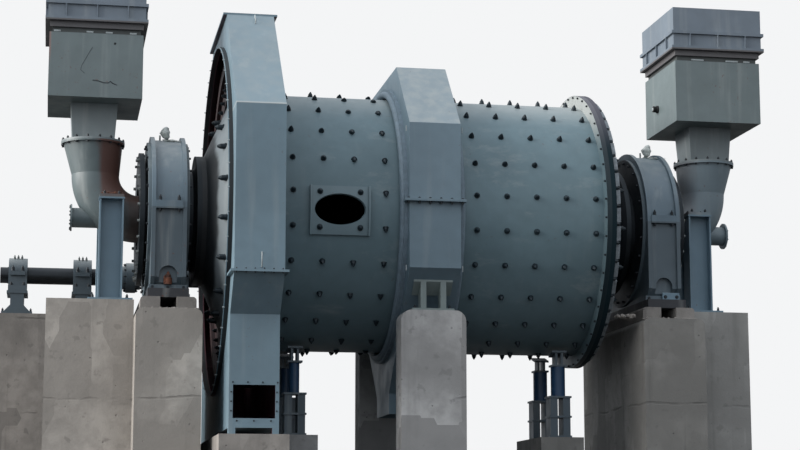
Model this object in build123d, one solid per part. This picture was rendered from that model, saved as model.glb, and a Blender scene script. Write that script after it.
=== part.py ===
from build123d import *
import math
import os

os.makedirs("parts", exist_ok=True)

# Rod mill with its bearings, feed chutes, gear drive and foundations. All sizes are in millimetres.
# X runs along the mill axis, Y away from the viewer and Z up. The pieces are drawn about the mill axis
# and raised by AXIS_HEIGHT when they are saved, so that Z = 0 is the ground under the foundations.
AXIS_HEIGHT = 5500
RUNNING_GAP = 0.4
OVERLAP = 1

# Mill shell and its rims
SHELL_BORE_R = 1600
SHELL_WALL = 50
SHELL_LENGTH = 4500
RIM_WIDTH = 160
RIM_THICK = 60
MANHOLE_FROM_END = 1113
MANHOLE_TURN = -2.5
MANHOLE_LENGTH = 616
MANHOLE_WIDTH = 370
MANHOLE_MARGIN = 8
PAD_LENGTH = 740
PAD_TOP_TURN = 7.3
PAD_SWEEP = 20.5
PAD_THICK = 30
PAD_RIB = 22
PAD_RIB_HEIGHT = 35

# Heads and trunnions
HEAD_WALL = 70
HEAD_SPIGOT_GAP = 20
HEAD_KNUCKLE = 10
NECK_FROM_HEAD = 430
NECK_R = 830
NECK_THICK = 60
TRUNNION_LENGTH = 770
TRUNNION_BORE_R = 450
JOURNAL_R = 640
JOURNAL_FILLET = 40
END_FLANGE_R = 848
END_FLANGE_THICK = 60

# Main bearings
BEARING_FROM_NECK = 420
BEARING_WIDTH = 430
BEARING_FLANGE_R = 1060
BEARING_FLANGE_THICK = 48
BARREL_INSET = 42
LUG_REACH = 55
CAP_LUG = 80
HOUSING_LUG = 20
HOUSING_FOOT_Z = -1015
HOUSING_TAPER = 150
FOOT_BAND_HEIGHT = 62
FOOT_BAND_REACH = 18
NICHE_WIDTH = 220
NICHE_HEIGHT = 230
NICHE_DEPTH = 60
SEAL_RING_R = 985
SEAL_RING_THICK = 38
SEAL_RING_GAP = 12
SOLE_PLATE_LENGTH = 500
SOLE_PLATE_THICK = 110
SOLE_PLATE_OVERHANG = 60
GROUT_HEIGHT = 165
GROUT_WIDTH = 240
GROUT_GAP = 200
GROUT_ROUNDING = 45

# Girth gear and pinion
TOOTH_MODULE = 25
GEAR_TEETH = 168
PINION_TEETH = 24
PRESSURE_TURN = 20
TOOTH_PLAY = 4
ROOT_DEPTH = 1.25
GEAR_FACE = 450
PINION_FACE = 480
GEAR_FROM_SHELL_END = 55
GEAR_WEB_THICK = 60
GEAR_RIM_DEPTH = 110
GEAR_WEB_BORE_R = 1660
PINION_TURN = -10.7

# Drive line
SHAFT_R = 115
SHAFT_END_R = 110
SHAFT_END_LENGTH = 100
SHAFT_TAIL = 240
SHAFT_HOLE_GAP = 20
BEARING_SPACING = 874
INNER_BEARING_FROM_GEAR = 1951
COUPLING_FROM_GEAR = 1288
COUPLING_R = 208
COUPLING_HUB_R = 162
COUPLING_LENGTH = 260
COUPLING_GAP = 12
PINION_BEARING_REACH = 620
PINION_SHAFT_TAIL = 210
BLOCK_WIDTH = 250
BLOCK_LENGTH = 620
BLOCK_CAP_R = 235
BLOCK_DROP = 245
BLOCK_FOOT = 70
BLOCK_LUG = 28
BLOCK_LUG_INSET = 25
STAND_WAIST = 180
STAND_BASE = 416
STAND_FLARE = 90
BLOCK_STAND_HEIGHT = 320
BLOCK_STAND_LIP = 15

# Gear guard
GUARD_WIDTH = 590
GUARD_FLAT = 2475
GUARD_PLATE = 12
GUARD_OPENING_R = 2225
GUARD_INNER_R = 1725
GUARD_COLLAR = 60
GUARD_SPLIT_Z = -960
GUARD_LOWER_FRONT = 2020
GUARD_BOTTOM_Z = -2745
GUARD_PINION_GAP = 87
GUARD_PINION_TOP_Z = 60
GUARD_FLANGE = 45
GUARD_FLANGE_THICK = 14
CLEANING_WIDTH = 497
CLEANING_HEIGHT = 390
CLEANING_SILL = 110
GUARD_FOOT_HEIGHT = 85
GUARD_FOOT_WIDTH = 80
GUARD_FOOT_LENGTH = 120

# Discharge hood
HOOD_WIDTH = 636
HOOD_FRONT = 1870
HOOD_FOLD_Z = 1000
HOOD_TOP_Z = 1905
HOOD_SPLIT_Z = 35
HOOD_SLOPE_Z = -790
HOOD_OUTLET_HALF = 450
HOOD_SPOUT_LENGTH = 260
HOOD_PLATE = 12
HOOD_FLANGE = 62
HOOD_FLANGE_THICK = 16
HOOD_OPENING_R = 1745
PACKING_R = 45
PACKING_GAP = 20

# Feed chutes and hoppers
FEED_FROM_BEARING = 930
FEED_PLATE = 12
CHUTE_R = 300
CHUTE_MOUTH_R = 375
CHUTE_BEND_R = 550
CHUTE_SHIFT = 40
CHUTE_FLANGE_R = 402
CHUTE_FLANGE_Z = 960
CHUTE_FLANGE_THICK = 22
CHUTE_NOSE_FROM_BEARING = 90
STUB_R = 125
STUB_BORE_R = 105
STUB_SEAT_LENGTH = 90
LEFT_STUB_SEAT_R = 113
RIGHT_STUB_SEAT_R = 115
STUB_FLANGE_R = 172
STUB_ROOT = 140
STUB_REACH = 262
SPOUT_TOP = 590
SPOUT_FOOT = 530
HOPPER_LENGTH = 1170
HOPPER_DEPTH = 1300
HOPPER_BOTTOM_Z = 1430
HOPPER_TOP_Z = 2250
HOPPER_NECK_HEIGHT = 70
HOPPER_NECK_INSET = 35
BIN_SKIRT_HEIGHT = 75
BIN_STRIP_HEIGHT = 50
BIN_BODY_HEIGHT = 165
BIN_LEDGE_HEIGHT = 40
BIN_TOP_HEIGHT = 320
BIN_OVERHANG = 55
BIN_RIB = 30
BIN_RIB_THICK = 12
BIN_RIB_SPACING = 0.3
LEFT_STAND_FROM_FEED = 240
RIGHT_STAND_FROM_FEED = 285
STAND_WIDTH = 300
STAND_DEPTH = 250
STAND_Y = 480
STAND_TOP_Z = 180
STAND_PLATE = 20
STAND_CAP_LIP = 10
STAND_FOOT_LIP = 60
STAND_FOOT_INSET = 10
BRACKET_THICK = 40

# Foundations
BEARING_PIER_WIDTH = 800
BEARING_PIER_DEPTH = 2800
BEARING_PIER_TOP_Z = -1290
PIER_ROUNDING = 90
FEED_PEDESTAL_DEPTH = 1660
FEED_PEDESTAL_TOP_Z = -1130
LEFT_PEDESTAL_PAST_FEED = 530
RIGHT_PEDESTAL_PAST_FEED = 260
DRIVE_PEDESTAL_PAST_SHAFT = 160
DRIVE_PEDESTAL_PAST_BEARING = 300
DRIVE_PEDESTAL_DEPTH = 760
PINION_PIER_WIDTH = 520
GUARD_WALL_TOP_Z = -2830
GUARD_WALL_DEPTH = 4600
GUARD_WALL_OUTER = 430
GUARD_WALL_INNER = 385
WALL_GAP = 20
JACK_WALL_TOP_Z = -2750
JACK_WALL_WIDTH = 560
JACK_WALL_DEPTH = 1300
MIDDLE_PIER_WIDTH = 800
MIDDLE_PIER_FRONT = 1760
MIDDLE_PIER_DEPTH = 360
MIDDLE_PIER_TOP_Z = -1290
MIDDLE_PIER_ROUNDING = 130
MIDDLE_STRIP_HEIGHT = 600

# Hood frames and jacks
FRAME_TOP_WIDTH = 480
FRAME_FOOT_WIDTH = 520
FRAME_POST = 70
FRAME_POST_SPACING = 246
FRAME_PLATE = 24
FRAME_DEPTH = 150
FRAME_SETBACK = 20
LEFT_JACK_FROM_END = 720
RIGHT_JACK_FROM_END = 360
LEFT_JACK_R = 66
RIGHT_JACK_R = 92
JACK_Y = 450
JACK_CRADLE_GAP = 10
JACK_SADDLE_HEIGHT = 205
JACK_SADDLE_WIDTH = 190
JACK_WEB = 30
JACK_WEB_SPACING = 74
JACK_INSET = 15
JACK_BODY_HEIGHT = 380
JACK_STAND_WIDTH = 290
JACK_STAND_DEPTH = 260
JACK_POST = 95
JACK_PLATE = 24

# Worked out from the sizes above
SHELL_R = SHELL_BORE_R + SHELL_WALL
RIM_R = SHELL_R + RIM_WIDTH
HALF_SHELL = SHELL_LENGTH / 2
HEAD_FACE_X = HALF_SHELL + RIM_THICK
MANHOLE_X = MANHOLE_FROM_END - HALF_SHELL
NECK_X = HEAD_FACE_X + NECK_FROM_HEAD
TRUNNION_END_X = NECK_X + TRUNNION_LENGTH
BEARING_X = NECK_X + BEARING_FROM_NECK
BEARING_X0 = BEARING_X - BEARING_WIDTH / 2
BEARING_X1 = BEARING_X + BEARING_WIDTH / 2
FEED_X = BEARING_X + FEED_FROM_BEARING
LEFT_STAND_X = FEED_X - LEFT_STAND_FROM_FEED
RIGHT_STAND_X = FEED_X - RIGHT_STAND_FROM_FEED
STUB_END_X = FEED_X + STUB_REACH
PEDESTAL_X = BEARING_X + BEARING_PIER_WIDTH / 2
GEAR_X = GEAR_FROM_SHELL_END - HALF_SHELL
GUARD_X0 = GEAR_X - GUARD_WIDTH / 2
GUARD_X1 = GEAR_X + GUARD_WIDTH / 2
GUARD_CORNER = GUARD_FLAT * math.tan(math.pi / 8)
GEAR_PITCH_R = TOOTH_MODULE * GEAR_TEETH / 2
PINION_PITCH_R = TOOTH_MODULE * PINION_TEETH / 2
CENTRE_DISTANCE = GEAR_PITCH_R + PINION_PITCH_R
PINION_Y = CENTRE_DISTANCE * math.cos(math.radians(PINION_TURN))
PINION_Z = CENTRE_DISTANCE * math.sin(math.radians(PINION_TURN))
GEAR_ROOT_R = GEAR_PITCH_R - ROOT_DEPTH * TOOTH_MODULE
GUARD_PINION_FLAT = PINION_Y + PINION_PITCH_R + TOOTH_MODULE + GUARD_PINION_GAP
COUPLING_X = GEAR_X - COUPLING_FROM_GEAR
INNER_BEARING_X = GEAR_X - INNER_BEARING_FROM_GEAR
OUTER_BEARING_X = INNER_BEARING_X - BEARING_SPACING
SHAFT_END_X = OUTER_BEARING_X - SHAFT_TAIL
BLOCK_SEAT_Z = PINION_Z - BLOCK_DROP
DRIVE_TOP_Z = BLOCK_SEAT_Z - BLOCK_STAND_HEIGHT
HOOD_OUTLET_Z = HOOD_SLOPE_Z - (HOOD_FRONT - HOOD_OUTLET_HALF)
HOOD_LOW_Z = HOOD_OUTLET_Z - HOOD_SPOUT_LENGTH
LEFT_JACK_X = LEFT_JACK_FROM_END - HALF_SHELL
RIGHT_JACK_X = HALF_SHELL - RIGHT_JACK_FROM_END
JACK_CRADLE_R = SHELL_R + PAD_THICK + PAD_RIB_HEIGHT + JACK_CRADLE_GAP
FAR = 2 * AXIS_HEIGHT


def slab(x0, x1, y0, y1, z0, z1):
    """A rectangular block between two corners."""
    middle = Pos((x0 + x1) / 2, (y0 + y1) / 2, (z0 + z1) / 2)
    return middle * Box(x1 - x0, y1 - y0, z1 - z0)


def turned(outline, top=0, sweep=360):
    """A solid turned about the mill axis from (x, radius) corners.

    A part turn starts top degrees above the near horizontal and runs down by sweep degrees.
    """
    face = make_face(Polyline([(x, -r) for x, r in outline], close=True))
    return Rot(X=-top) * revolve(face, Axis.X, revolution_arc=sweep)


def disc(x0, x1, radius, y=0, z=0):
    """A round bar along X."""
    return Pos((x0 + x1) / 2, y, z) * Rot(Y=90) * Cylinder(radius, x1 - x0)


def ring(x0, x1, outer, bore):
    """A flat ring about the mill axis."""
    return disc(x0, x1, outer) - disc(x0 - OVERLAP, x1 + OVERLAP, bore)


def band(outline, x0, x1):
    """A solid along X from a closed outline of (y, z) corners."""
    face = make_face(Plane.YZ.offset(x0) * Polyline(outline, close=True))
    return extrude(face, x1 - x0, dir=(1, 0, 0))


def other_side(shape):
    """The same piece at the other end of the mill."""
    return mirror(shape, about=Plane.YZ)


def far_side(shape):
    """The same piece on the far side of the mill."""
    return mirror(shape, about=Plane.XZ)


def save(name, *shapes):
    """Raise a piece to its height above the ground and write it."""
    raised = [Pos(0, 0, AXIS_HEIGHT) * shape for shape in shapes]
    solids = [solid for shape in raised for solid in shape.solids()]
    piece = solids[0] if len(solids) == 1 else Compound(children=solids)
    piece.label = name
    export_step(piece, f"parts/{name}.step")


# Turning mill body

def mill_shell():
    inner = HALF_SHELL - RIM_THICK
    body = turned([(-HALF_SHELL, SHELL_BORE_R), (HALF_SHELL, SHELL_BORE_R), (HALF_SHELL, RIM_R),
                   (inner, RIM_R), (inner, SHELL_R), (-inner, SHELL_R), (-inner, RIM_R),
                   (-HALF_SHELL, RIM_R)])
    return body - manhole_cutter(0)


def manhole_cutter(margin):
    """The oval opening in the shell, wider all round by the margin."""
    oval = Ellipse(MANHOLE_LENGTH / 2 + margin, MANHOLE_WIDTH / 2 + margin)
    outline = Plane.XZ.offset(SHELL_BORE_R / 2) * Pos(MANHOLE_X, 0) * oval
    return Rot(X=-MANHOLE_TURN) * extrude(outline, SHELL_BORE_R)


def manhole_frame():
    x0 = MANHOLE_X - PAD_LENGTH / 2
    x1 = MANHOLE_X + PAD_LENGTH / 2
    top = SHELL_R + PAD_THICK
    rib = top + PAD_RIB_HEIGHT
    plate = turned([(x0, SHELL_R), (x1, SHELL_R), (x1, rib), (x1 - PAD_RIB, rib),
                    (x1 - PAD_RIB, top), (x0 + PAD_RIB, top), (x0 + PAD_RIB, rib), (x0, rib)],
                   PAD_TOP_TURN, PAD_SWEEP)
    return plate - manhole_cutter(MANHOLE_MARGIN)


def head():
    cone_x = HEAD_FACE_X + HEAD_KNUCKLE
    cone_r = SHELL_R - HEAD_KNUCKLE
    spigot_r = SHELL_BORE_R - HEAD_SPIGOT_GAP
    spigot_x = HALF_SHELL + HEAD_SPIGOT_GAP
    return turned([(HALF_SHELL, spigot_r), (HALF_SHELL, RIM_R), (HEAD_FACE_X, RIM_R),
                   (HEAD_FACE_X, SHELL_R), (cone_x, cone_r), (NECK_X - NECK_THICK, NECK_R),
                   (NECK_X, NECK_R), (NECK_X, TRUNNION_BORE_R), (NECK_X - HEAD_WALL, TRUNNION_BORE_R),
                   (NECK_X - NECK_THICK - HEAD_WALL, NECK_R - HEAD_WALL),
                   (spigot_x, spigot_r - HEAD_SPIGOT_GAP)])


def trunnion():
    end = TRUNNION_END_X
    shoulder = NECK_X + NECK_THICK
    return turned([(NECK_X, TRUNNION_BORE_R), (NECK_X, NECK_R), (shoulder, NECK_R),
                   (shoulder, JOURNAL_R + JOURNAL_FILLET), (shoulder + JOURNAL_FILLET, JOURNAL_R),
                   (end - END_FLANGE_THICK, JOURNAL_R), (end - END_FLANGE_THICK, END_FLANGE_R),
                   (end, END_FLANGE_R), (end, TRUNNION_BORE_R)])


def half_tooth_turn(radius, pitch_r):
    """Half the angle that a tooth fills at a radius, in radians, with the play taken off."""
    pressure = math.radians(PRESSURE_TURN)
    base_r = pitch_r * math.cos(pressure)
    here = math.acos(min(1, base_r / radius))
    half_thick = (math.pi * TOOTH_MODULE - TOOTH_PLAY) / 4
    return half_thick / pitch_r + (math.tan(pressure) - pressure) - (math.tan(here) - here)


def toothed_outline(teeth, radii, start):
    """The (y, z) corners of a toothed wheel whose first tooth points at the angle start."""
    pitch_r = TOOTH_MODULE * teeth / 2
    corners = []
    for tooth in range(teeth):
        middle = start + 2 * math.pi * tooth / teeth
        rising = [(r, middle - half_tooth_turn(r, pitch_r)) for r in radii]
        falling = [(r, middle + half_tooth_turn(r, pitch_r)) for r in reversed(radii)]
        corners += [(r * math.cos(a), r * math.sin(a)) for r, a in rising + falling]
    return corners


def girth_gear():
    rim_x0 = GEAR_X - GEAR_FACE / 2
    rim_x1 = rim_x0 + GEAR_FACE
    tip_r = GEAR_PITCH_R + TOOTH_MODULE
    inner_r = GEAR_ROOT_R - GEAR_RIM_DEPTH
    outline = toothed_outline(GEAR_TEETH, [GEAR_ROOT_R, tip_r], math.radians(PINION_TURN))
    rim = band(outline, rim_x0, rim_x1) - disc(rim_x0 - OVERLAP, rim_x1 + OVERLAP, inner_r)
    web = ring(-HEAD_FACE_X - GEAR_WEB_THICK, -HEAD_FACE_X, inner_r + OVERLAP, GEAR_WEB_BORE_R)
    return rim + web


# Drive line

def pinion_outline():
    base_r = PINION_PITCH_R * math.cos(math.radians(PRESSURE_TURN))
    root_r = PINION_PITCH_R - ROOT_DEPTH * TOOTH_MODULE
    radii = [root_r, base_r, PINION_PITCH_R, PINION_PITCH_R + TOOTH_MODULE]
    facing = math.radians(PINION_TURN) + math.pi
    corners = toothed_outline(PINION_TEETH, radii, facing + math.pi / PINION_TEETH)
    return [(y + PINION_Y, z + PINION_Z) for y, z in corners]


def pinion_and_shaft():
    x0 = GEAR_X - PINION_FACE / 2
    end = GEAR_X + PINION_BEARING_REACH + PINION_SHAFT_TAIL
    teeth = band(pinion_outline(), x0, x0 + PINION_FACE)
    return teeth + disc(COUPLING_X + COUPLING_GAP / 2, end, SHAFT_R, PINION_Y, PINION_Z)


def drive_shaft():
    shoulder = SHAFT_END_X + SHAFT_END_LENGTH
    shaft = disc(shoulder, COUPLING_X - COUPLING_GAP / 2, SHAFT_R, PINION_Y, PINION_Z)
    return shaft + disc(SHAFT_END_X, shoulder, SHAFT_END_R, PINION_Y, PINION_Z)


def coupling():
    x0 = COUPLING_X - COUPLING_LENGTH / 2
    x1 = COUPLING_X + COUPLING_LENGTH / 2
    step = COUPLING_LENGTH / 4
    body = disc(x0, x1, COUPLING_HUB_R, PINION_Y, PINION_Z)
    body += disc(x0 + step, x1 - step, COUPLING_R, PINION_Y, PINION_Z)
    return body - disc(x0 - OVERLAP, x1 + OVERLAP, SHAFT_R, PINION_Y, PINION_Z)


def bearing_block_at(x):
    x0 = x - BLOCK_WIDTH / 2
    x1 = x + BLOCK_WIDTH / 2
    y0 = PINION_Y - BLOCK_LENGTH / 2
    y1 = PINION_Y + BLOCK_LENGTH / 2
    inset = BLOCK_LUG_INSET
    block = disc(x0, x1, BLOCK_CAP_R, PINION_Y, PINION_Z)
    block += slab(x0, x1, PINION_Y - BLOCK_CAP_R, PINION_Y + BLOCK_CAP_R, BLOCK_SEAT_Z, PINION_Z)
    block += slab(x0, x1, y0, y1, BLOCK_SEAT_Z, BLOCK_SEAT_Z + BLOCK_FOOT)
    block += slab(x0 + inset, x1 - inset, y0 + inset, y1 - inset, PINION_Z - BLOCK_LUG, PINION_Z + BLOCK_LUG)
    return block - disc(x0 - OVERLAP, x1 + OVERLAP, SHAFT_R + RUNNING_GAP, PINION_Y, PINION_Z)


def block_stand_at(x):
    """The stand under one bearing block, narrow at the waist and flared to a wide foot."""
    half = BLOCK_WIDTH / 2 + BLOCK_STAND_LIP
    plate = BLOCK_FOOT / 2
    length = BLOCK_LENGTH - 2 * BLOCK_STAND_LIP
    place = Pos(x, PINION_Y)
    stand = extrude(Plane.XY.offset(BLOCK_SEAT_Z - plate) * place * Rectangle(2 * half, BLOCK_LENGTH), plate)
    stand += extrude(Plane.XY.offset(DRIVE_TOP_Z) * place * Rectangle(STAND_BASE, BLOCK_LENGTH), plate)
    stand += extrude(Plane.XY.offset(DRIVE_TOP_Z) * place * Rectangle(STAND_WAIST, length), BLOCK_STAND_HEIGHT)
    low = Plane.XY.offset(DRIVE_TOP_Z) * place * Rectangle(STAND_BASE, length)
    high = Plane.XY.offset(DRIVE_TOP_Z + plate + STAND_FLARE) * place * Rectangle(STAND_WAIST, length)
    return stand + loft([low, high])


# Main bearings

def housing_outline(width):
    """The (y, z) corners of the lower housing below the split."""
    knee = HOUSING_FOOT_Z + HOUSING_TAPER
    toe = width - HOUSING_TAPER
    return [(-width, 0), (-width, knee), (-toe, HOUSING_FOOT_Z), (toe, HOUSING_FOOT_Z),
            (width, knee), (width, 0)]


def split_lugs(z0, z1):
    reach = BEARING_FLANGE_R + LUG_REACH - BARREL_INSET
    plate = BEARING_FLANGE_THICK
    return slab(BEARING_X0 + plate, BEARING_X1 - plate, -reach, reach, z0, z1)


def niche():
    """The arched pocket low in the front of a housing."""
    sill = HOUSING_FOOT_Z + FOOT_BAND_HEIGHT
    front = BEARING_FLANGE_R - BARREL_INSET - NICHE_DEPTH
    half = NICHE_WIDTH / 2
    spring = sill + NICHE_HEIGHT - half
    pocket = slab(BEARING_X - half, BEARING_X + half, -BEARING_FLANGE_R - OVERLAP, -front, sill, spring)
    arch = Pos(BEARING_X, -(front + BEARING_FLANGE_R + OVERLAP) / 2, spring) * Rot(X=90)
    return pocket + arch * Cylinder(half, BEARING_FLANGE_R + OVERLAP - front)


def bearing_housing():
    plate = BEARING_FLANGE_THICK
    body = band(housing_outline(BEARING_FLANGE_R - BARREL_INSET), BEARING_X0, BEARING_X1)
    body -= niche() + far_side(niche())
    for start in (BEARING_X0, BEARING_X1 - plate):
        body += band(housing_outline(BEARING_FLANGE_R), start, start + plate)
    toe = BEARING_FLANGE_R - HOUSING_TAPER + FOOT_BAND_HEIGHT
    band_x0 = BEARING_X0 - FOOT_BAND_REACH
    band_x1 = BEARING_X1 + FOOT_BAND_REACH
    foot = slab(band_x0, band_x1, -toe, toe, HOUSING_FOOT_Z, HOUSING_FOOT_Z + FOOT_BAND_HEIGHT)
    for start in (band_x0, BEARING_X1):
        foot -= disc(start, start + FOOT_BAND_REACH, SEAL_RING_R + SEAL_RING_GAP)
    body += foot + split_lugs(-HOUSING_LUG, 0)
    return body - disc(BEARING_X0 - OVERLAP, BEARING_X1 + OVERLAP, JOURNAL_R + RUNNING_GAP)


def bearing_cap():
    plate = BEARING_FLANGE_THICK
    body = disc(BEARING_X0, BEARING_X1, BEARING_FLANGE_R - BARREL_INSET)
    for start in (BEARING_X0, BEARING_X1 - plate):
        body += disc(start, start + plate, BEARING_FLANGE_R)
    body += split_lugs(0, CAP_LUG)
    body -= slab(-FAR, FAR, -FAR, FAR, -FAR, 0)
    return body - disc(BEARING_X0 - OVERLAP, BEARING_X1 + OVERLAP, JOURNAL_R + RUNNING_GAP)


def seal_rings():
    bore = JOURNAL_R + SEAL_RING_GAP
    starts = (BEARING_X0 - SEAL_RING_THICK, BEARING_X1)
    return [ring(x0, x0 + SEAL_RING_THICK, SEAL_RING_R, bore) for x0 in starts]


def sole_plate():
    half = SOLE_PLATE_LENGTH / 2
    reach = BEARING_FLANGE_R + SOLE_PLATE_OVERHANG
    bottom = HOUSING_FOOT_Z - SOLE_PLATE_THICK
    return slab(BEARING_X - half, BEARING_X + half, -reach, reach, bottom, HOUSING_FOOT_Z)


def rounded_top(block, rounding, ends):
    """The block with its top edges along Y rounded at the chosen ends, 0 for left and -1 for right."""
    shoulders = block.edges().filter_by(Axis.Y).group_by(Axis.Z)[-1].sort_by(Axis.X)
    return fillet([shoulders[end] for end in ends], rounding)


def grout_blocks():
    top = HOUSING_FOOT_Z - SOLE_PLATE_THICK
    reach = BEARING_FLANGE_R + 2 * SOLE_PLATE_OVERHANG
    inner = GROUT_GAP / 2
    outer = inner + GROUT_WIDTH
    left = slab(BEARING_X - outer, BEARING_X - inner, -reach, reach, top - GROUT_HEIGHT, top)
    right = slab(BEARING_X + inner, BEARING_X + outer, -reach, reach, top - GROUT_HEIGHT, top)
    return [rounded_top(left, GROUT_ROUNDING, [0]), rounded_top(right, GROUT_ROUNDING, [-1])]


# Discharge hood

def hood_outline(inset):
    """The (y, z) corners of the hood, a folded box drawn in to a spout below."""
    front = HOOD_FRONT - inset
    easing = inset * math.tan(math.pi / 8)
    top_half = HOOD_FRONT - (HOOD_TOP_Z - HOOD_FOLD_Z) - easing
    outlet = HOOD_OUTLET_HALF - inset
    half = [(top_half, HOOD_TOP_Z - inset), (front, HOOD_FOLD_Z - easing), (front, HOOD_SLOPE_Z + easing),
            (outlet, HOOD_OUTLET_Z + easing), (outlet, HOOD_LOW_Z)]
    return half + [(-y, z) for y, z in reversed(half)]


def hood():
    x1 = HOOD_WIDTH / 2
    inner_x = x1 - HOOD_PLATE
    outlet = HOOD_OUTLET_HALF - HOOD_PLATE
    hollow = band(hood_outline(HOOD_PLATE), -inner_x, inner_x)
    hollow += slab(-inner_x, inner_x, -outlet, outlet, HOOD_LOW_Z - OVERLAP, HOOD_LOW_Z + OVERLAP)
    return band(hood_outline(0), -x1, x1) - hollow - disc(-x1 - OVERLAP, x1 + OVERLAP, HOOD_OPENING_R)


def hood_half(z_low, z_high, flange_z):
    """The part of the hood between two heights, with a split flange from flange_z upwards."""
    reach = HOOD_FRONT + HOOD_FLANGE
    x_reach = HOOD_WIDTH / 2 + HOOD_FLANGE
    inner_x = HOOD_WIDTH / 2 - HOOD_PLATE
    inner_y = HOOD_FRONT - HOOD_PLATE
    top = flange_z + HOOD_FLANGE_THICK
    flange = slab(-x_reach, x_reach, -reach, reach, flange_z, top)
    flange -= slab(-inner_x, inner_x, -inner_y, inner_y, flange_z - OVERLAP, top + OVERLAP)
    flange -= disc(-x_reach - OVERLAP, x_reach + OVERLAP, HOOD_OPENING_R + PACKING_R)
    return (hood() & slab(-FAR, FAR, -FAR, FAR, z_low, z_high)) + flange


def packing_rings():
    middle_r = SHELL_R + PACKING_GAP + PACKING_R
    x0 = HOOD_WIDTH / 2
    collar = Pos(x0 + PACKING_R, 0, 0) * Rot(Y=90) * Torus(middle_r, PACKING_R)
    collar += ring(x0, x0 + PACKING_R, HOOD_OPENING_R + PACKING_R, middle_r)
    return [collar, other_side(collar)]


def hood_frame():
    y0 = FRAME_SETBACK - MIDDLE_PIER_FRONT
    y1 = y0 + FRAME_DEPTH
    front_top = HOOD_SLOPE_Z - (HOOD_FRONT + y0)
    back_top = front_top - FRAME_DEPTH
    bottom = MIDDLE_PIER_TOP_Z
    foot = FRAME_FOOT_WIDTH / 2
    cap = FRAME_TOP_WIDTH / 2
    frame = slab(-foot, foot, y0, y1, bottom, bottom + FRAME_PLATE)
    frame += band([(y0, front_top), (y1, back_top), (y1, back_top - FRAME_PLATE),
                   (y0, front_top - FRAME_PLATE)], -cap, cap)
    for side in (-1, 1):
        x0 = (side * FRAME_POST_SPACING - FRAME_POST) / 2
        frame += band([(y0, bottom), (y1, bottom), (y1, back_top - OVERLAP), (y0, front_top - OVERLAP)],
                      x0, x0 + FRAME_POST)
    return frame


# Gear guard

def guard_outline(inset):
    """The (y, z) corners of the whole guard, near side first."""
    ease = inset * math.tan(math.pi / 8)
    flat = GUARD_FLAT - inset
    corner = GUARD_CORNER - ease
    low = GUARD_LOWER_FRONT - inset
    deep = GUARD_PINION_FLAT - inset
    near_foot = GUARD_SPLIT_Z - (GUARD_FLAT - GUARD_LOWER_FRONT) + ease
    far_foot = GUARD_SPLIT_Z - (GUARD_PINION_FLAT - GUARD_LOWER_FRONT) + ease
    bottom = GUARD_BOTTOM_Z + inset
    pocket = GUARD_PINION_TOP_Z - inset
    return [(-flat, GUARD_SPLIT_Z + ease), (-low, near_foot), (-low, bottom), (low, bottom),
            (low, far_foot), (deep, GUARD_SPLIT_Z + ease), (deep, pocket), (flat, pocket),
            (flat, corner), (corner, flat), (-corner, flat), (-flat, corner)]


def guard():
    """The whole casing in one piece, with its flanges, lid and collar."""
    x0 = GUARD_X0
    x1 = GUARD_X1
    lip = GUARD_FLANGE
    casing = band(guard_outline(0), x0, x1)
    z0 = GUARD_SPLIT_Z - GUARD_FLANGE_THICK
    z1 = GUARD_SPLIT_Z + GUARD_FLANGE_THICK
    casing += slab(x0 - lip, x1 + lip, -GUARD_FLAT - lip, GUARD_PINION_FLAT + lip, z0, z1)
    casing += slab(x0 - lip, x1 + lip, -GUARD_CORNER, GUARD_CORNER, GUARD_FLAT, GUARD_FLAT + 2 * GUARD_PLATE)
    casing += disc(x0 - GUARD_COLLAR, x0, GUARD_OPENING_R + GUARD_PLATE)
    casing -= band(guard_outline(GUARD_PLATE), x0 + GUARD_PLATE, x1 - GUARD_PLATE)
    casing -= disc(x0 - GUARD_COLLAR - OVERLAP, GEAR_X, GUARD_OPENING_R)
    casing -= disc(GEAR_X, x1 + lip + OVERLAP, GUARD_INNER_R)
    return casing - disc(x0 - lip - OVERLAP, x1 + lip + OVERLAP, SHAFT_R + SHAFT_HOLE_GAP, PINION_Y, PINION_Z)


def guard_section(casing, y0, y1, z0, z1):
    return casing & slab(GUARD_X0 - GUARD_WIDTH, GUARD_X1 + GUARD_WIDTH, y0, y1, z0, z1)


def lower_guard(casing):
    body = guard_section(casing, -FAR, FAR, -FAR, GUARD_SPLIT_Z)
    sill = GUARD_BOTTOM_Z + CLEANING_SILL
    half = CLEANING_WIDTH / 2
    body -= slab(GEAR_X - half, GEAR_X + half, -FAR, 0, sill, sill + CLEANING_HEIGHT)
    row = GUARD_LOWER_FRONT - GUARD_FOOT_LENGTH / 2
    for x0 in (GUARD_X0, GUARD_X1 - GUARD_FOOT_WIDTH):
        for y in (-row, 0, row):
            body += slab(x0, x0 + GUARD_FOOT_WIDTH, y - GUARD_FOOT_LENGTH / 2, y + GUARD_FOOT_LENGTH / 2,
                         GUARD_BOTTOM_Z - GUARD_FOOT_HEIGHT, GUARD_BOTTOM_Z)
    return body


# Feed end

def chute_bend(radius):
    """The round elbow from the mouth to the horizontal nose."""
    mouth_x = FEED_X - CHUTE_SHIFT
    bend_x = mouth_x - CHUTE_BEND_R
    elbow = Pos(bend_x, 0, CHUTE_BEND_R) * Rot(X=90) * Torus(CHUTE_BEND_R, radius)
    reach = CHUTE_BEND_R + radius + OVERLAP
    quarter = slab(bend_x, bend_x + reach, -reach, reach, CHUTE_BEND_R - reach, CHUTE_BEND_R)
    low = Plane.XY.offset(CHUTE_BEND_R) * Pos(mouth_x, 0) * Circle(radius)
    high = Plane.XY.offset(CHUTE_FLANGE_Z) * Pos(FEED_X, 0) * Circle(radius + CHUTE_MOUTH_R - CHUTE_R)
    nose = disc(BEARING_X + CHUTE_NOSE_FROM_BEARING, bend_x, radius)
    return (elbow & quarter) + loft([low, high]) + nose


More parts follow.
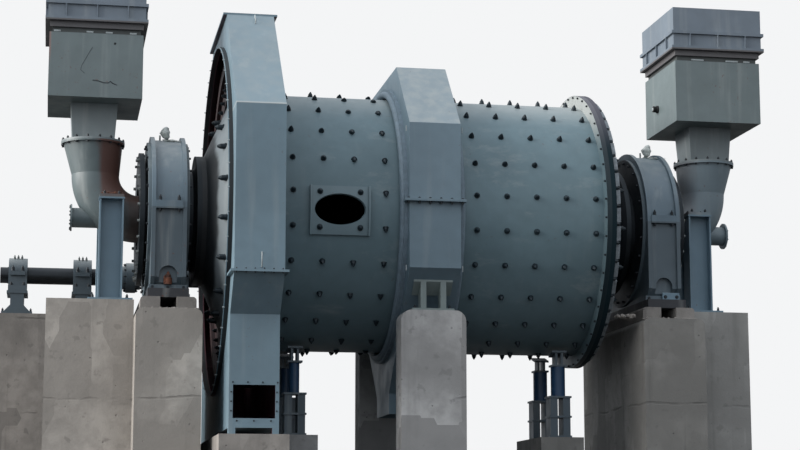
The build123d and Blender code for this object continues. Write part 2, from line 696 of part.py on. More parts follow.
def chute(seat_r, stand_x):
    """A feed chute with its flange, its pipe stub and the bracket that lies on the stands."""
    flange_z = CHUTE_FLANGE_Z - CHUTE_FLANGE_THICK / 2
    nose_x = BEARING_X + CHUTE_NOSE_FROM_BEARING
    inner_r = CHUTE_R - FEED_PLATE
    bracket = STAND_WIDTH / 2
    bracket_y = STAND_Y + STAND_DEPTH / 2
    body = chute_bend(CHUTE_R)
    body += disc(FEED_X - STUB_ROOT, STUB_END_X, STUB_R)
    body += disc(STUB_END_X - CHUTE_FLANGE_THICK, STUB_END_X, STUB_FLANGE_R)
    body += Pos(FEED_X, 0, flange_z) * Cylinder(CHUTE_FLANGE_R, CHUTE_FLANGE_THICK)
    body += slab(stand_x - bracket, stand_x + bracket, -bracket_y, bracket_y,
                 STAND_TOP_Z, STAND_TOP_Z + BRACKET_THICK)
    hollow = chute_bend(inner_r)
    hollow += disc(nose_x - OVERLAP, nose_x + OVERLAP, inner_r)
    hollow += disc(FEED_X - STUB_ROOT, STUB_END_X + OVERLAP, STUB_BORE_R)
    hollow += disc(STUB_END_X - STUB_SEAT_LENGTH, STUB_END_X + OVERLAP, seat_r)
    hollow += Pos(FEED_X, 0, CHUTE_FLANGE_Z) * Cylinder(CHUTE_MOUTH_R - FEED_PLATE, 2 * OVERLAP)
    return body - hollow


def square_at(z, side):
    return Plane.XY.offset(z) * Pos(FEED_X, 0) * Rectangle(side, side)


def spout():
    z0 = CHUTE_FLANGE_Z + CHUTE_FLANGE_THICK
    inner_foot = SPOUT_FOOT - 2 * FEED_PLATE
    inner_top = SPOUT_TOP - 2 * FEED_PLATE
    body = Pos(FEED_X, 0, z0 - CHUTE_FLANGE_THICK / 2) * Cylinder(CHUTE_FLANGE_R, CHUTE_FLANGE_THICK)
    body += loft([square_at(z0, SPOUT_FOOT), square_at(HOPPER_BOTTOM_Z, SPOUT_TOP)])
    body -= loft([square_at(z0, inner_foot), square_at(HOPPER_BOTTOM_Z, inner_top)])
    return body - extrude(square_at(CHUTE_FLANGE_Z - OVERLAP, inner_foot), CHUTE_FLANGE_THICK + 2 * OVERLAP)


def box_tube(length, depth, z0, z1, wall):
    """An open rectangular tube about the feed line."""
    x = length / 2
    y = depth / 2
    tube = slab(FEED_X - x, FEED_X + x, -y, y, z0, z1)
    return tube - slab(FEED_X - x + wall, FEED_X + x - wall, -y + wall, y - wall, z0 - OVERLAP, z1 + OVERLAP)


def hopper():
    top = HOPPER_TOP_Z
    bottom = HOPPER_BOTTOM_Z
    wall = FEED_PLATE
    neck_length = HOPPER_LENGTH - 2 * HOPPER_NECK_INSET
    neck_depth = HOPPER_DEPTH - 2 * HOPPER_NECK_INSET
    x = HOPPER_LENGTH / 2
    y = HOPPER_DEPTH / 2
    floor = slab(FEED_X - x, FEED_X + x, -y, y, bottom, bottom + wall)
    floor -= extrude(square_at(bottom - OVERLAP, SPOUT_TOP - 2 * wall), wall + 2 * OVERLAP)
    body = box_tube(HOPPER_LENGTH, HOPPER_DEPTH, bottom, top, wall) + floor
    body += box_tube(HOPPER_LENGTH, HOPPER_DEPTH, top - wall, top, HOPPER_NECK_INSET + wall)
    return body + box_tube(neck_length, neck_depth, top - wall, top + HOPPER_NECK_HEIGHT, wall)


def upper_bin():
    foot = HOPPER_TOP_Z + HOPPER_NECK_HEIGHT
    z0 = foot + BIN_SKIRT_HEIGHT
    z1 = z0 + BIN_STRIP_HEIGHT
    z2 = z1 + BIN_BODY_HEIGHT
    z3 = z2 + BIN_LEDGE_HEIGHT
    z4 = z3 + BIN_TOP_HEIGHT
    wide = HOPPER_LENGTH + 2 * BIN_OVERHANG
    deep = HOPPER_DEPTH + 2 * BIN_OVERHANG
    body = box_tube(HOPPER_LENGTH, HOPPER_DEPTH, foot, z0, HOPPER_NECK_INSET + FEED_PLATE)
    body += box_tube(wide, deep, z0, z1, BIN_OVERHANG + HOPPER_NECK_INSET + FEED_PLATE)
    body += box_tube(wide - 2 * BIN_RIB, deep - 2 * BIN_RIB, z1, z2, FEED_PLATE)
    body += box_tube(wide, deep, z2, z3, BIN_RIB + FEED_PLATE)
    body += box_tube(wide - 2 * BIN_RIB, deep - 2 * BIN_RIB, z3, z4, FEED_PLATE)
    lift = Pos(FEED_X, 0, (z1 + z2) / 2)
    for share in (-BIN_RIB_SPACING, 0, BIN_RIB_SPACING):
        for side in (-1, 1):
            rib_y = side * (deep - BIN_RIB) / 2
            rib_x = side * (wide - BIN_RIB) / 2
            body += lift * Pos(share * wide, rib_y) * Box(BIN_RIB_THICK, BIN_RIB, BIN_BODY_HEIGHT)
            body += lift * Pos(rib_x, share * deep) * Box(BIN_RIB, BIN_RIB_THICK, BIN_BODY_HEIGHT)
    return body


def chute_stand(stand_x):
    """The near stand, an H post with its web to the front, between a foot plate and a cap plate."""
    x0 = stand_x - STAND_WIDTH / 2
    x1 = stand_x + STAND_WIDTH / 2
    y0 = -STAND_Y - STAND_DEPTH / 2
    y1 = -STAND_Y + STAND_DEPTH / 2
    plate = STAND_PLATE
    foot = FEED_PEDESTAL_TOP_Z
    lip = STAND_FOOT_LIP
    cap = STAND_CAP_LIP
    stand = slab(PEDESTAL_X + STAND_FOOT_INSET, x1 + 2 * lip, y0 - lip, y1 + lip, foot, foot + 2 * plate)
    stand += slab(x0, x0 + plate, y0, y1, foot, STAND_TOP_Z)
    stand += slab(x1 - plate, x1, y0, y1, foot, STAND_TOP_Z)
    stand += slab(x0, x1, -STAND_Y - plate / 2, -STAND_Y + plate / 2, foot, STAND_TOP_Z)
    return stand + slab(x0 - cap, x1 + cap, y0 - cap, y1 + cap, STAND_TOP_Z - plate, STAND_TOP_Z)


# Jacks under the shell

def jack_parts(x, radius):
    """The stand, cylinder and saddle of one jack on the near side. The saddle's top is curved to the shell."""
    y = -JACK_Y
    half = JACK_SADDLE_WIDTH / 2
    plate = JACK_PLATE
    front_top = -math.sqrt(JACK_CRADLE_R ** 2 - (JACK_Y + half) ** 2)
    saddle_foot = front_top - JACK_SADDLE_HEIGHT
    body_foot = saddle_foot - JACK_BODY_HEIGHT
    cradle = ring(x - half, x + half, JACK_CRADLE_R + plate, JACK_CRADLE_R)
    saddle = cradle & slab(x - half, x + half, y - half, y + half, -FAR, 0)
    saddle += slab(x - half, x + half, y - half, y + half, saddle_foot, saddle_foot + plate)
    for side in (-1, 1):
        web = x + side * JACK_WEB_SPACING / 2
        upright = slab(web - JACK_WEB / 2, web + JACK_WEB / 2, y - half + JACK_INSET, y + half - JACK_INSET,
                       saddle_foot, 0)
        saddle += upright - disc(x - half, x + half, JACK_CRADLE_R + plate / 2)
    body = Pos(x, y, saddle_foot - JACK_BODY_HEIGHT / 2) * Cylinder(radius, JACK_BODY_HEIGHT)
    wide = JACK_STAND_WIDTH / 2
    deep = JACK_STAND_DEPTH / 2
    middle = (body_foot + JACK_WALL_TOP_Z) / 2
    stand = slab(x - wide, x + wide, y - deep, y + deep, body_foot - plate, body_foot)
    stand += slab(x - wide, x + wide, y - deep, y + deep, middle - plate / 2, middle + plate / 2)
    stand += slab(x - wide, x + wide, y - deep, y + deep, JACK_WALL_TOP_Z, JACK_WALL_TOP_Z + plate)
    for side in (-1, 1):
        post = x + side * (wide - JACK_INSET - JACK_POST / 2)
        stand += slab(post - JACK_POST / 2, post + JACK_POST / 2, y - deep + JACK_INSET,
                      y + deep - JACK_INSET, JACK_WALL_TOP_Z, body_foot)
    return stand, body, saddle


# Foundations

def block_on_ground(x0, x1, y0, y1, top):
    return slab(x0, x1, y0, y1, -AXIS_HEIGHT, top)


def bearing_pier():
    half = BEARING_PIER_WIDTH / 2
    depth = BEARING_PIER_DEPTH / 2
    pier = block_on_ground(BEARING_X - half, BEARING_X + half, -depth, depth, BEARING_PIER_TOP_Z)
    return rounded_top(pier, PIER_ROUNDING, [0, -1])


def feed_pedestal(past_feed):
    half = FEED_PEDESTAL_DEPTH / 2
    return block_on_ground(PEDESTAL_X, FEED_X + past_feed, -half, half, FEED_PEDESTAL_TOP_Z)


def drive_pedestal():
    x0 = SHAFT_END_X - DRIVE_PEDESTAL_PAST_SHAFT
    y0 = PINION_Y - DRIVE_PEDESTAL_DEPTH / 2
    return block_on_ground(x0, INNER_BEARING_X + DRIVE_PEDESTAL_PAST_BEARING, y0,
                           y0 + DRIVE_PEDESTAL_DEPTH, DRIVE_TOP_Z)


def pinion_piers():
    y0 = PINION_Y - DRIVE_PEDESTAL_DEPTH / 2
    half = PINION_PIER_WIDTH / 2
    middles = (GEAR_X - PINION_BEARING_REACH, GEAR_X + PINION_BEARING_REACH)
    return [block_on_ground(x - half, x + half, y0, y0 + DRIVE_PEDESTAL_DEPTH, DRIVE_TOP_Z) for x in middles]


def jack_wall_at(x):
    half = JACK_WALL_WIDTH / 2
    depth = JACK_WALL_DEPTH / 2
    return block_on_ground(x - half, x + half, -depth, depth, JACK_WALL_TOP_Z)


def guard_wall():
    far = PINION_Y - DRIVE_PEDESTAL_DEPTH / 2 - WALL_GAP
    x0 = GEAR_X - GUARD_WALL_OUTER
    x1 = GEAR_X + GUARD_WALL_INNER
    return block_on_ground(x0, x1, -GUARD_WALL_DEPTH / 2, far, GUARD_WALL_TOP_Z)


def middle_foundation():
    half = MIDDLE_PIER_WIDTH / 2
    front = MIDDLE_PIER_FRONT
    inner = front - MIDDLE_PIER_DEPTH
    pier = block_on_ground(-half, half, -front, -inner, MIDDLE_PIER_TOP_Z)
    pier = rounded_top(pier, MIDDLE_PIER_ROUNDING, [0, -1])
    strip = block_on_ground(-half, half, -inner - OVERLAP, inner + OVERLAP, MIDDLE_STRIP_HEIGHT - AXIS_HEIGHT)
    return pier + far_side(pier) + strip


def build_end(end, turn, seat_r, stand_x, past_feed):
    """One end of the mill, drawn at the right and turned to its own side."""
    save(f"{end}_head", turn(head()))
    save(f"{end}_trunnion", turn(trunnion()))
    save(f"{end}_bearing_housing", turn(bearing_housing()))
    save(f"{end}_bearing_cap", turn(bearing_cap()))
    save(f"{end}_bearing_seals", *[turn(seal) for seal in seal_rings()])
    save(f"{end}_sole_plate", turn(sole_plate()))
    save(f"{end}_grout_blocks", *[turn(block) for block in grout_blocks()])
    save(f"{end}_feed_chute", turn(chute(seat_r, stand_x)))
    save(f"{end}_feed_spout", turn(spout()))
    save(f"{end}_feed_hopper", turn(hopper()))
    save(f"{end}_upper_bin", turn(upper_bin()))
    save(f"{end}_chute_stands", turn(chute_stand(stand_x)), far_side(turn(chute_stand(stand_x))))
    save(f"{end}_bearing_pier", turn(bearing_pier()))
    save(f"{end}_feed_pedestal", turn(feed_pedestal(past_feed)))


def build():
    save("shell", mill_shell())
    save("manhole_frame", manhole_frame())
    build_end("left", other_side, LEFT_STUB_SEAT_R, LEFT_STAND_X, LEFT_PEDESTAL_PAST_FEED)
    build_end("right", lambda shape: shape, RIGHT_STUB_SEAT_R, RIGHT_STAND_X, RIGHT_PEDESTAL_PAST_FEED)
    save("girth_gear", girth_gear())
    save("pinion", pinion_and_shaft())
    save("drive_shaft", drive_shaft())
    save("shaft_coupling", coupling())
    shaft_xs = [OUTER_BEARING_X, INNER_BEARING_X]
    pinion_xs = [GEAR_X - PINION_BEARING_REACH, GEAR_X + PINION_BEARING_REACH]
    save("shaft_bearings", *[bearing_block_at(x) for x in shaft_xs])
    save("pinion_bearings", *[bearing_block_at(x) for x in pinion_xs])
    save("drive_bearing_stands", *[block_stand_at(x) for x in shaft_xs + pinion_xs])
    casing = guard()
    save("gear_guard_near", guard_section(casing, -FAR, 0, GUARD_SPLIT_Z, GUARD_CORNER))
    save("gear_guard_far", guard_section(casing, 0, FAR, GUARD_SPLIT_Z, GUARD_CORNER))
    save("gear_guard_top", guard_section(casing, -FAR, FAR, GUARD_CORNER, FAR))
    save("gear_guard_lower", lower_guard(casing))
    save("discharge_hood_upper", hood_half(HOOD_SPLIT_Z, FAR, HOOD_SPLIT_Z))
    save("discharge_hood_lower", hood_half(-FAR, HOOD_SPLIT_Z, HOOD_SPLIT_Z - HOOD_FLANGE_THICK))
    save("hood_packing_rings", *packing_rings())
    save("hood_frames", hood_frame(), far_side(hood_frame()))
    jacks = [jack_parts(LEFT_JACK_X, LEFT_JACK_R), jack_parts(RIGHT_JACK_X, RIGHT_JACK_R)]
    for index, name in enumerate(("jack_stands", "jack_cylinders", "jack_saddles")):
        near = [parts[index] for parts in jacks]
        save(name, *near, *[far_side(piece) for piece in near])
    save("drive_pedestal", drive_pedestal())
    save("pinion_piers", *pinion_piers())
    save("guard_wall", guard_wall())
    save("left_jack_wall", jack_wall_at(LEFT_JACK_X))
    save("right_jack_wall", jack_wall_at(RIGHT_JACK_X))
    save("middle_foundation", middle_foundation())


build()
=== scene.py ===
import math

import bmesh
import bpy
from mathutils import Euler, Matrix, Vector


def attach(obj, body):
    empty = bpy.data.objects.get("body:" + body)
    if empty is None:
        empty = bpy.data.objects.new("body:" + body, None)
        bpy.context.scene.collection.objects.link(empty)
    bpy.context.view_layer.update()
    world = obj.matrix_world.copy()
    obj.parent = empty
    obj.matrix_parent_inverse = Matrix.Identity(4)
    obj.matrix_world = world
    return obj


# Looks of a rod mill: paint, rust, concrete, fasteners and small fittings around the frame's solids.
# X runs along the mill axis, Y away from the viewer and Z up, in metres, and places are taken from that
# axis. Turns are in degrees above the near horizontal, seen along the axis. An R is a radius round it.
AXIS_HEIGHT = 5.5
ENDS = (("left", -1), ("right", 1))
UPWARD = (0, 0, 1)

# How far the flat foot of a fastener sinks into a round face, so that no gap shows
FOOT_SINK = 0.002

# Mill body
SHELL_R = 1.65
SHELL_BORE_R = 1.6
SHELL_END_X = 2.25
RIM_THICK = 0.06
RIM_R = 1.81
HEAD_FACE_X = 2.31
HEAD_FLANGE_BOLT_R = 1.75
HEAD_FLANGE_BOLTS = 48
HEAD_FLANGE_TURN = 2
LOCK_BAR_R = 1.73
RIM_BOLT_R = 1.782
RIM_BOLT_TURN = 4.6
HEAD_BOLT_R = 1.27
HEAD_BOLT_X = 2.472
HEAD_BOLTS = 16
HEAD_BOLT_TURN = 16
GEAR_WEB_X = 2.37
LINER_ROWS = 24
LINER_ROW_TURN = 5.4
LINER_PITCH = 0.38
LEFT_LINER_X = -1.71
LEFT_LINER_COLUMNS = 4
RIGHT_LINER_X = 0.57
RIGHT_LINER_COLUMNS = 5
MANHOLE_X = -1.137
PAD_TURN = -3.0
BARE_HALF_LENGTH = 0.4
BARE_HALF_TURN = 11
PAD_R = 1.68
PAD_BOLT_X = 0.2485
PAD_BOLT_TURNS = (4.8, -10.1)

# Bearings
BEARING_X = 3.16
BARREL_R = 1.018
SEAL_RING_X = 0.253
SEAL_BOLT_R = 0.93
SEAL_BOLTS = 24
SEAL_BOLT_TURN = 3
LUG_BOLT_Y = 1.046
LUG_BOLT_HALF_GAP = 0.115
CAP_LUG_Z = 0.08
HOUSING_LUG_Z = -0.02
HOUSING_FOOT_Z = -1.015
FOOT_FRONT_Y = 0.972
FOOT_BOLT_PITCH = 0.19
FOOT_BOLT_Z = HOUSING_FOOT_Z + 0.03
STOP_X = BEARING_X + 0.09
STOP_FRONT_Y = FOOT_FRONT_Y + 0.045
STOP_THICK = 0.026
BREATHER_SHIFT = {"left": 0.0, "right": 0.1}
BREATHER_Y = -0.06
TRUNNION_END_X = 3.51
TRUNNION_BOLT_R = 0.78
TRUNNION_BOLTS = 24
TRUNNION_BOLT_TURN = 5
NICHE_Y = 0.97
PIER_TOP_Z = -1.287

# Gear guard and hood
GEAR_X = -2.195
GUARD_HALF_WIDTH = 0.295
GUARD_FLAT = 2.475
GUARD_CORNER = 1.025
GUARD_SPLIT_Z = -0.96
GUARD_LOWER_Y = 2.02
GUARD_COLLAR_R = 2.237
GUARD_COLLAR_X = -2.55
CLAMP_TABS = 48
CLAMP_TAB_TURN = 1.5
SPLIT_BOLT_X = -2.465
SPLIT_BOLT_YS = (-2.495, 2.79)
SPLIT_BOLTS = 6
SPLIT_BOLT_PITCH = 0.108
SPLIT_FLANGE_THICK = 0.014
CLEANING_Z = -2.44
HOOD_FRONT_Y = 1.87
HOOD_HALF_WIDTH = 0.318
HOOD_FLANGE_FOOT = 0.019
HOOD_FLANGE_TOP = 0.051
HOOD_BOLT_X = -0.335
HOOD_BOLT_Y = HOOD_FRONT_Y + 0.032
HOOD_BOLTS = 6
HOOD_BOLT_PITCH = 0.134
HOOD_FOOT_HALF_GAP = 0.215
HOOD_FOOT_Y = 1.665
HOOD_FOOT_Z = -1.266
HOOD_EAR_ZS = (-0.79, 0.93)

# Feed ends
FEED_X = 4.09
STAND_XS = {"left": 3.85, "right": 3.805}
STAND_Y = 0.48
STAND_INNER_BOLT_X = {"left": 3.64, "right": 3.612}
STAND_OUTER_BOLT_X = {"left": 4.06, "right": 4.015}
STAND_BOLT_ROW = 0.155
STAND_FOOT_Z = -1.09
BRACKET_TOP_Z = 0.22
BRACKET_BOLT_GAP = 0.09
STUB_END_X = 4.352
STUB_BOLT_R = 0.15
STUB_BOLTS = 8
STUB_BOLT_TURN = 22
CHUTE_FLANGE_Z = 0.96
CHUTE_FLANGE_THICK = 0.022
CHUTE_BOLT_R = 0.386
CHUTE_BOLTS = 16
CHUTE_BOLT_TURN = 11
HOPPER_HALF_LENGTH = 0.585
HOPPER_HALF_DEPTH = 0.65
HOPPER_TOP_Z = 2.25
CLIP_PLACES = {"left": (-0.49, -0.085, 0.155, 0.455), "right": (-0.31, -0.225, 0.17, 0.255, 0.42)}
CLIP_Y = HOPPER_HALF_DEPTH - 0.035
CLIP_Z = HOPPER_TOP_Z + 0.022

# Drive
PINION_Y = 2.3583
PINION_Z = -0.4456
SHAFT_BEARING_XS = (-5.02, -4.146)
PINION_BEARING_XS = (-2.815, -1.575)
COUPLING_X = -3.483
COUPLING_HALF_LENGTH = 0.065
COUPLING_BOLT_R = 0.186
COUPLING_BOLTS = 12

# Radius and height of each fastener
LINER_CAP_SIZE = (0.037, 0.072)
PAD_CAP_SIZE = (0.037, 0.05)
HEAD_CAP_SIZE = (0.044, 0.115)
FLANGE_NUT_SIZE = (0.026, 0.06)
RIM_BOLT_SIZE = (0.013, 0.02)
LOCK_BAR_SIZE = (0.05, 0.066)
TRUNNION_BOLT_SIZE = (0.02, 0.03)
SEAL_BOLT_SIZE = (0.016, 0.026)
CAP_NUT_SIZE = (0.018, 0.07)
HOUSING_NUT_SIZE = (0.018, 0.04)
FOOT_BOLT_SIZE = (0.017, 0.016)
STOP_BOLT_SIZE = (0.02, 0.018)
CLAMP_TAB_SIZE = (0.03, 0.008)
SPLIT_NUT_SIZE = (0.009, 0.02)
CLEANING_BOLT_SIZE = (0.009, 0.01)
HOOD_LOWER_NUT_SIZE = (0.016, 0.034)
HOOD_UPPER_NUT_SIZE = (0.016, 0.018)
HOOD_FOOT_NUT_SIZE = (0.016, 0.045)
CHUTE_NUT_SIZE = (0.015, 0.036)
CHUTE_BOLT_SIZE = (0.015, 0.018)
STUB_BOLT_SIZE = (0.012, 0.012)
BRACKET_NUT_SIZE = (0.017, 0.045)
STAND_NUT_SIZE = (0.015, 0.05)
SEAM_CLIP_SIZE = (0.085, 0.014)
BLOCK_STUD_SIZE = (0.014, 0.06)
COUPLING_NUT_SIZE = (0.013, 0.035)

# Nuts of a bearing block: half their gap along X, reach along Y, height from the shaft, and size
BLOCK_NUTS = ((0.065, 0.262, 0.028, (0.02, 0.075)), (0.085, 0.28, -0.175, (0.018, 0.05)),
              (0.188, 0.28, -0.53, (0.014, 0.045)))

# Bolts round the cleaning opening: place of the first from its middle, step and count
CLEANING_ROWS = (((-0.268, -0.11), (0, 0, 0.11), 3), ((0.268, -0.11), (0, 0, 0.11), 3),
                 ((-0.25, 0.225), (0.175, 0, 0), 4), ((-0.2, -0.225), (0.2, 0, 0), 3))

# Camera, placed from the ground, with its lens in millimetres; lamp and floor
CAMERA_PLACE = (-4.534, -24.217, 1.544)
CAMERA_TILT = 9.192
CAMERA_SWING = -10.389
SENSOR_WIDTH = 36
LENS_LENGTH = 85.69
LAMP_ENERGY = 4.7
LAMP_SPREAD = 50
LAMP_WAY = (0.94, 0.03, -0.32)
FLOOR_REACH = 90
FLOOR_DROP = 0.002

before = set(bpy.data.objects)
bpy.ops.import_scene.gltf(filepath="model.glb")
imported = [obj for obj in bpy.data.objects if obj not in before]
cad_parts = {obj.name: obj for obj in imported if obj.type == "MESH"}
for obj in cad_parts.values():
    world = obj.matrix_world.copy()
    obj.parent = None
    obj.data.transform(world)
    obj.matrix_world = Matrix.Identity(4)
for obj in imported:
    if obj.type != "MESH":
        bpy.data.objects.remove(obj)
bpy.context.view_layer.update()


# Wiring of node trees

def feed(tree, socket, value):
    """Feed a socket from another socket, or set its own value."""
    if isinstance(value, bpy.types.NodeSocket):
        tree.links.new(value, socket)
    else:
        socket.default_value = value


def add(tree, kind, feeds=None, **options):
    """Add a node, set its options and feed its inputs by name or number."""
    node = tree.nodes.new(kind)
    for option, value in options.items():
        setattr(node, option, value)
    for key, value in (feeds or {}).items():
        feed(tree, node.inputs[key], value)
    return node


def calc(tree, operation, first, second=0.0):
    return add(tree, "ShaderNodeMath", {0: first, 1: second}, operation=operation).outputs[0]


def times(tree, *values):
    """The product of two or more values."""
    product = values[0]
    for value in values[1:]:
        product = calc(tree, "MULTIPLY", product, value)
    return product


def join_point(tree, x, y, z):
    return add(tree, "ShaderNodeCombineXYZ", {"X": x, "Y": y, "Z": z}).outputs[0]


def split_point(tree, point):
    return add(tree, "ShaderNodeSeparateXYZ", {0: point}).outputs


def linear(red, green, blue):
    """A colour as it looks, 0 to 255, turned into the linear values that shaders use."""
    def one(channel):
        share = channel / 255
        return share / 12.92 if share <= 0.04045 else ((share + 0.055) / 1.055) ** 2.4
    return one(red), one(green), one(blue), 1.0


def shaded(colour, share):
    return tuple(min(1.0, channel * share) for channel in colour[:3]) + (1.0,)


# Fasteners and repeated fittings, grown by geometry trees

SIZE_INPUTS = {"Radius": "Float", "Height": "Float"}
COMMON_INPUTS = SIZE_INPUTS | {"Centre": "Vector", "Facing": "Vector", "Material": "Material"}


def open_tree(name, inputs):
    """A geometry tree whose inputs are given as name and kind: the tree, its inputs and its outlet."""
    tree = bpy.data.node_groups.new(name, "GeometryNodeTree")
    for title, kind in inputs.items():
        tree.interface.new_socket(title, in_out="INPUT", socket_type="NodeSocket" + kind)
    tree.interface.new_socket("Geometry", in_out="OUTPUT", socket_type="NodeSocketGeometry")
    entry = tree.nodes.new("NodeGroupInput")
    outlet = tree.nodes.new("NodeGroupOutput").inputs[0]
    return tree, entry.outputs, outlet


def close_tree(tree, geometry, material, outlet):
    """End a tree: its instances are made real and get their material."""
    real = add(tree, "GeometryNodeRealizeInstances", {"Geometry": geometry})
    coated = add(tree, "GeometryNodeSetMaterial", {"Geometry": real.outputs[0], "Material": material})
    tree.links.new(coated.outputs[0], outlet)


def fastener_form(name, parts):
    """One fastener standing on the origin along Z.

    A part is its sides, foot radius, top radius, start and end, as shares of the radius and height.
    """
    tree, size, outlet = open_tree(name, SIZE_INPUTS)
    joined = add(tree, "GeometryNodeJoinGeometry")
    for sides, foot, top, start, end in parts:
        cone = add(tree, "GeometryNodeMeshCone", {
            "Vertices": sides,
            "Radius Bottom": times(tree, size["Radius"], foot),
            "Radius Top": times(tree, size["Radius"], top),
            "Depth": times(tree, size["Height"], end - start)})
        lift = join_point(tree, 0, 0, times(tree, size["Height"], start))
        moved = add(tree, "GeometryNodeTransform", {"Geometry": cone.outputs["Mesh"], "Translation": lift})
        tree.links.new(moved.outputs[0], joined.inputs[0])
    tree.links.new(joined.outputs[0], outlet)
    return tree


def block_form(name, width, depth):
    """A small block standing on the origin, its width and depth as shares of the radius."""
    tree, size, outlet = open_tree(name, SIZE_INPUTS)
    across = times(tree, size["Radius"], width)
    along = times(tree, size["Radius"], depth)
    cube = add(tree, "GeometryNodeMeshCube", {"Size": join_point(tree, across, along, size["Height"])})
    lift = join_point(tree, 0, 0, times(tree, size["Height"], 0.5))
    moved = add(tree, "GeometryNodeTransform", {"Geometry": cube.outputs["Mesh"], "Translation": lift})
    tree.links.new(moved.outputs[0], outlet)
    return tree


LINER_CAP = fastener_form("liner_cap", [
    (12, 1, 1, 0, 0.16), (12, 0.86, 0.74, 0.16, 0.5), (12, 0.74, 0.16, 0.5, 1)])
LONG_CAP = fastener_form("long_cap", [
    (12, 1, 1, 0, 0.12), (12, 0.85, 0.75, 0.12, 0.65), (12, 0.75, 0.3, 0.65, 1)])
NUT = fastener_form("nut", [(14, 1.2, 1.2, 0, 0.12), (6, 1.05, 1.05, 0.12, 0.68), (10, 0.55, 0.5, 0.68, 1)])
BOLT_HEAD = fastener_form("bolt_head", [(12, 1.15, 1.15, 0, 0.2), (6, 1, 0.94, 0.2, 1)])
LOCK_BLOCK = block_form("lock_block", 1.0, 3.6)
CLAMP_TAB = block_form("clamp_tab", 1.0, 0.45)
SEAM_CLIP = block_form("seam_clip", 1.0, 0.24)


def finish_pattern(tree, size, outlet, points, standing, form, length_way=None):
    """Stand a form on every point, place the whole and give it its material."""
    turned = add(tree, "FunctionNodeAlignRotationToVector", {"Vector": standing}, axis="Z")
    if length_way is not None:
        turned = add(tree, "FunctionNodeAlignRotationToVector", {
            "Rotation": turned.outputs[0], "Vector": length_way}, axis="Y", pivot_axis="Z")
    shape = add(tree, "GeometryNodeGroup", node_tree=form)
    feed(tree, shape.inputs["Radius"], size["Radius"])
    feed(tree, shape.inputs["Height"], size["Height"])
    placed = add(tree, "GeometryNodeInstanceOnPoints", {
        "Points": points, "Instance": shape.outputs[0], "Rotation": turned.outputs[0]})
    facing = add(tree, "FunctionNodeEulerToRotation", {"Euler": size["Facing"]})
    moved = add(tree, "GeometryNodeTransform", {
        "Geometry": placed.outputs[0], "Translation": size["Centre"], "Rotation": facing.outputs[0]})
    close_tree(tree, moved.outputs[0], size["Material"], outlet)


def ring_tree(form):
    """Fasteners round a circle about X, that stand along X at a lean of 0 and outward at a lean of 1."""
    inputs = {"Count": "Int", "Ring Radius": "Float", "First Turn": "Float", "Turn Step": "Float",
              "Lean": "Float", "Way": "Float"}
    tree, size, outlet = open_tree("ring_of_" + form.name, inputs | COMMON_INPUTS)
    index = add(tree, "GeometryNodeInputIndex").outputs[0]
    turn = calc(tree, "ADD", times(tree, index, size["Turn Step"]), size["First Turn"])
    near = times(tree, calc(tree, "COSINE", turn), -1)
    up = calc(tree, "SINE", turn)
    radius = size["Ring Radius"]
    place = join_point(tree, 0, times(tree, near, radius), times(tree, up, radius))
    lean = size["Lean"]
    along = times(tree, calc(tree, "SUBTRACT", 1, lean), size["Way"])
    standing = join_point(tree, along, times(tree, near, lean), times(tree, up, lean))
    points = add(tree, "GeometryNodePoints", {"Count": size["Count"], "Position": place})
    round_way = join_point(tree, 0, up, times(tree, near, -1))
    finish_pattern(tree, size, outlet, points.outputs[0], standing, form, round_way)
    return tree


def line_tree(form):
    """Fasteners in a straight row from a start, one step apart, that stand along a direction."""
    inputs = {"Count": "Int", "Start": "Vector", "Step": "Vector", "Standing": "Vector"}
    tree, size, outlet = open_tree("line_of_" + form.name, inputs | COMMON_INPUTS)
    index = add(tree, "GeometryNodeInputIndex").outputs[0]
    stride = add(tree, "ShaderNodeVectorMath", {0: size["Step"], "Scale": index}, operation="SCALE")
    place = add(tree, "ShaderNodeVectorMath", {0: size["Start"], 1: stride.outputs[0]}, operation="ADD")
    points = add(tree, "GeometryNodePoints", {"Count": size["Count"], "Position": place.outputs[0]})
    finish_pattern(tree, size, outlet, points.outputs[0], size["Standing"], form)
    return tree


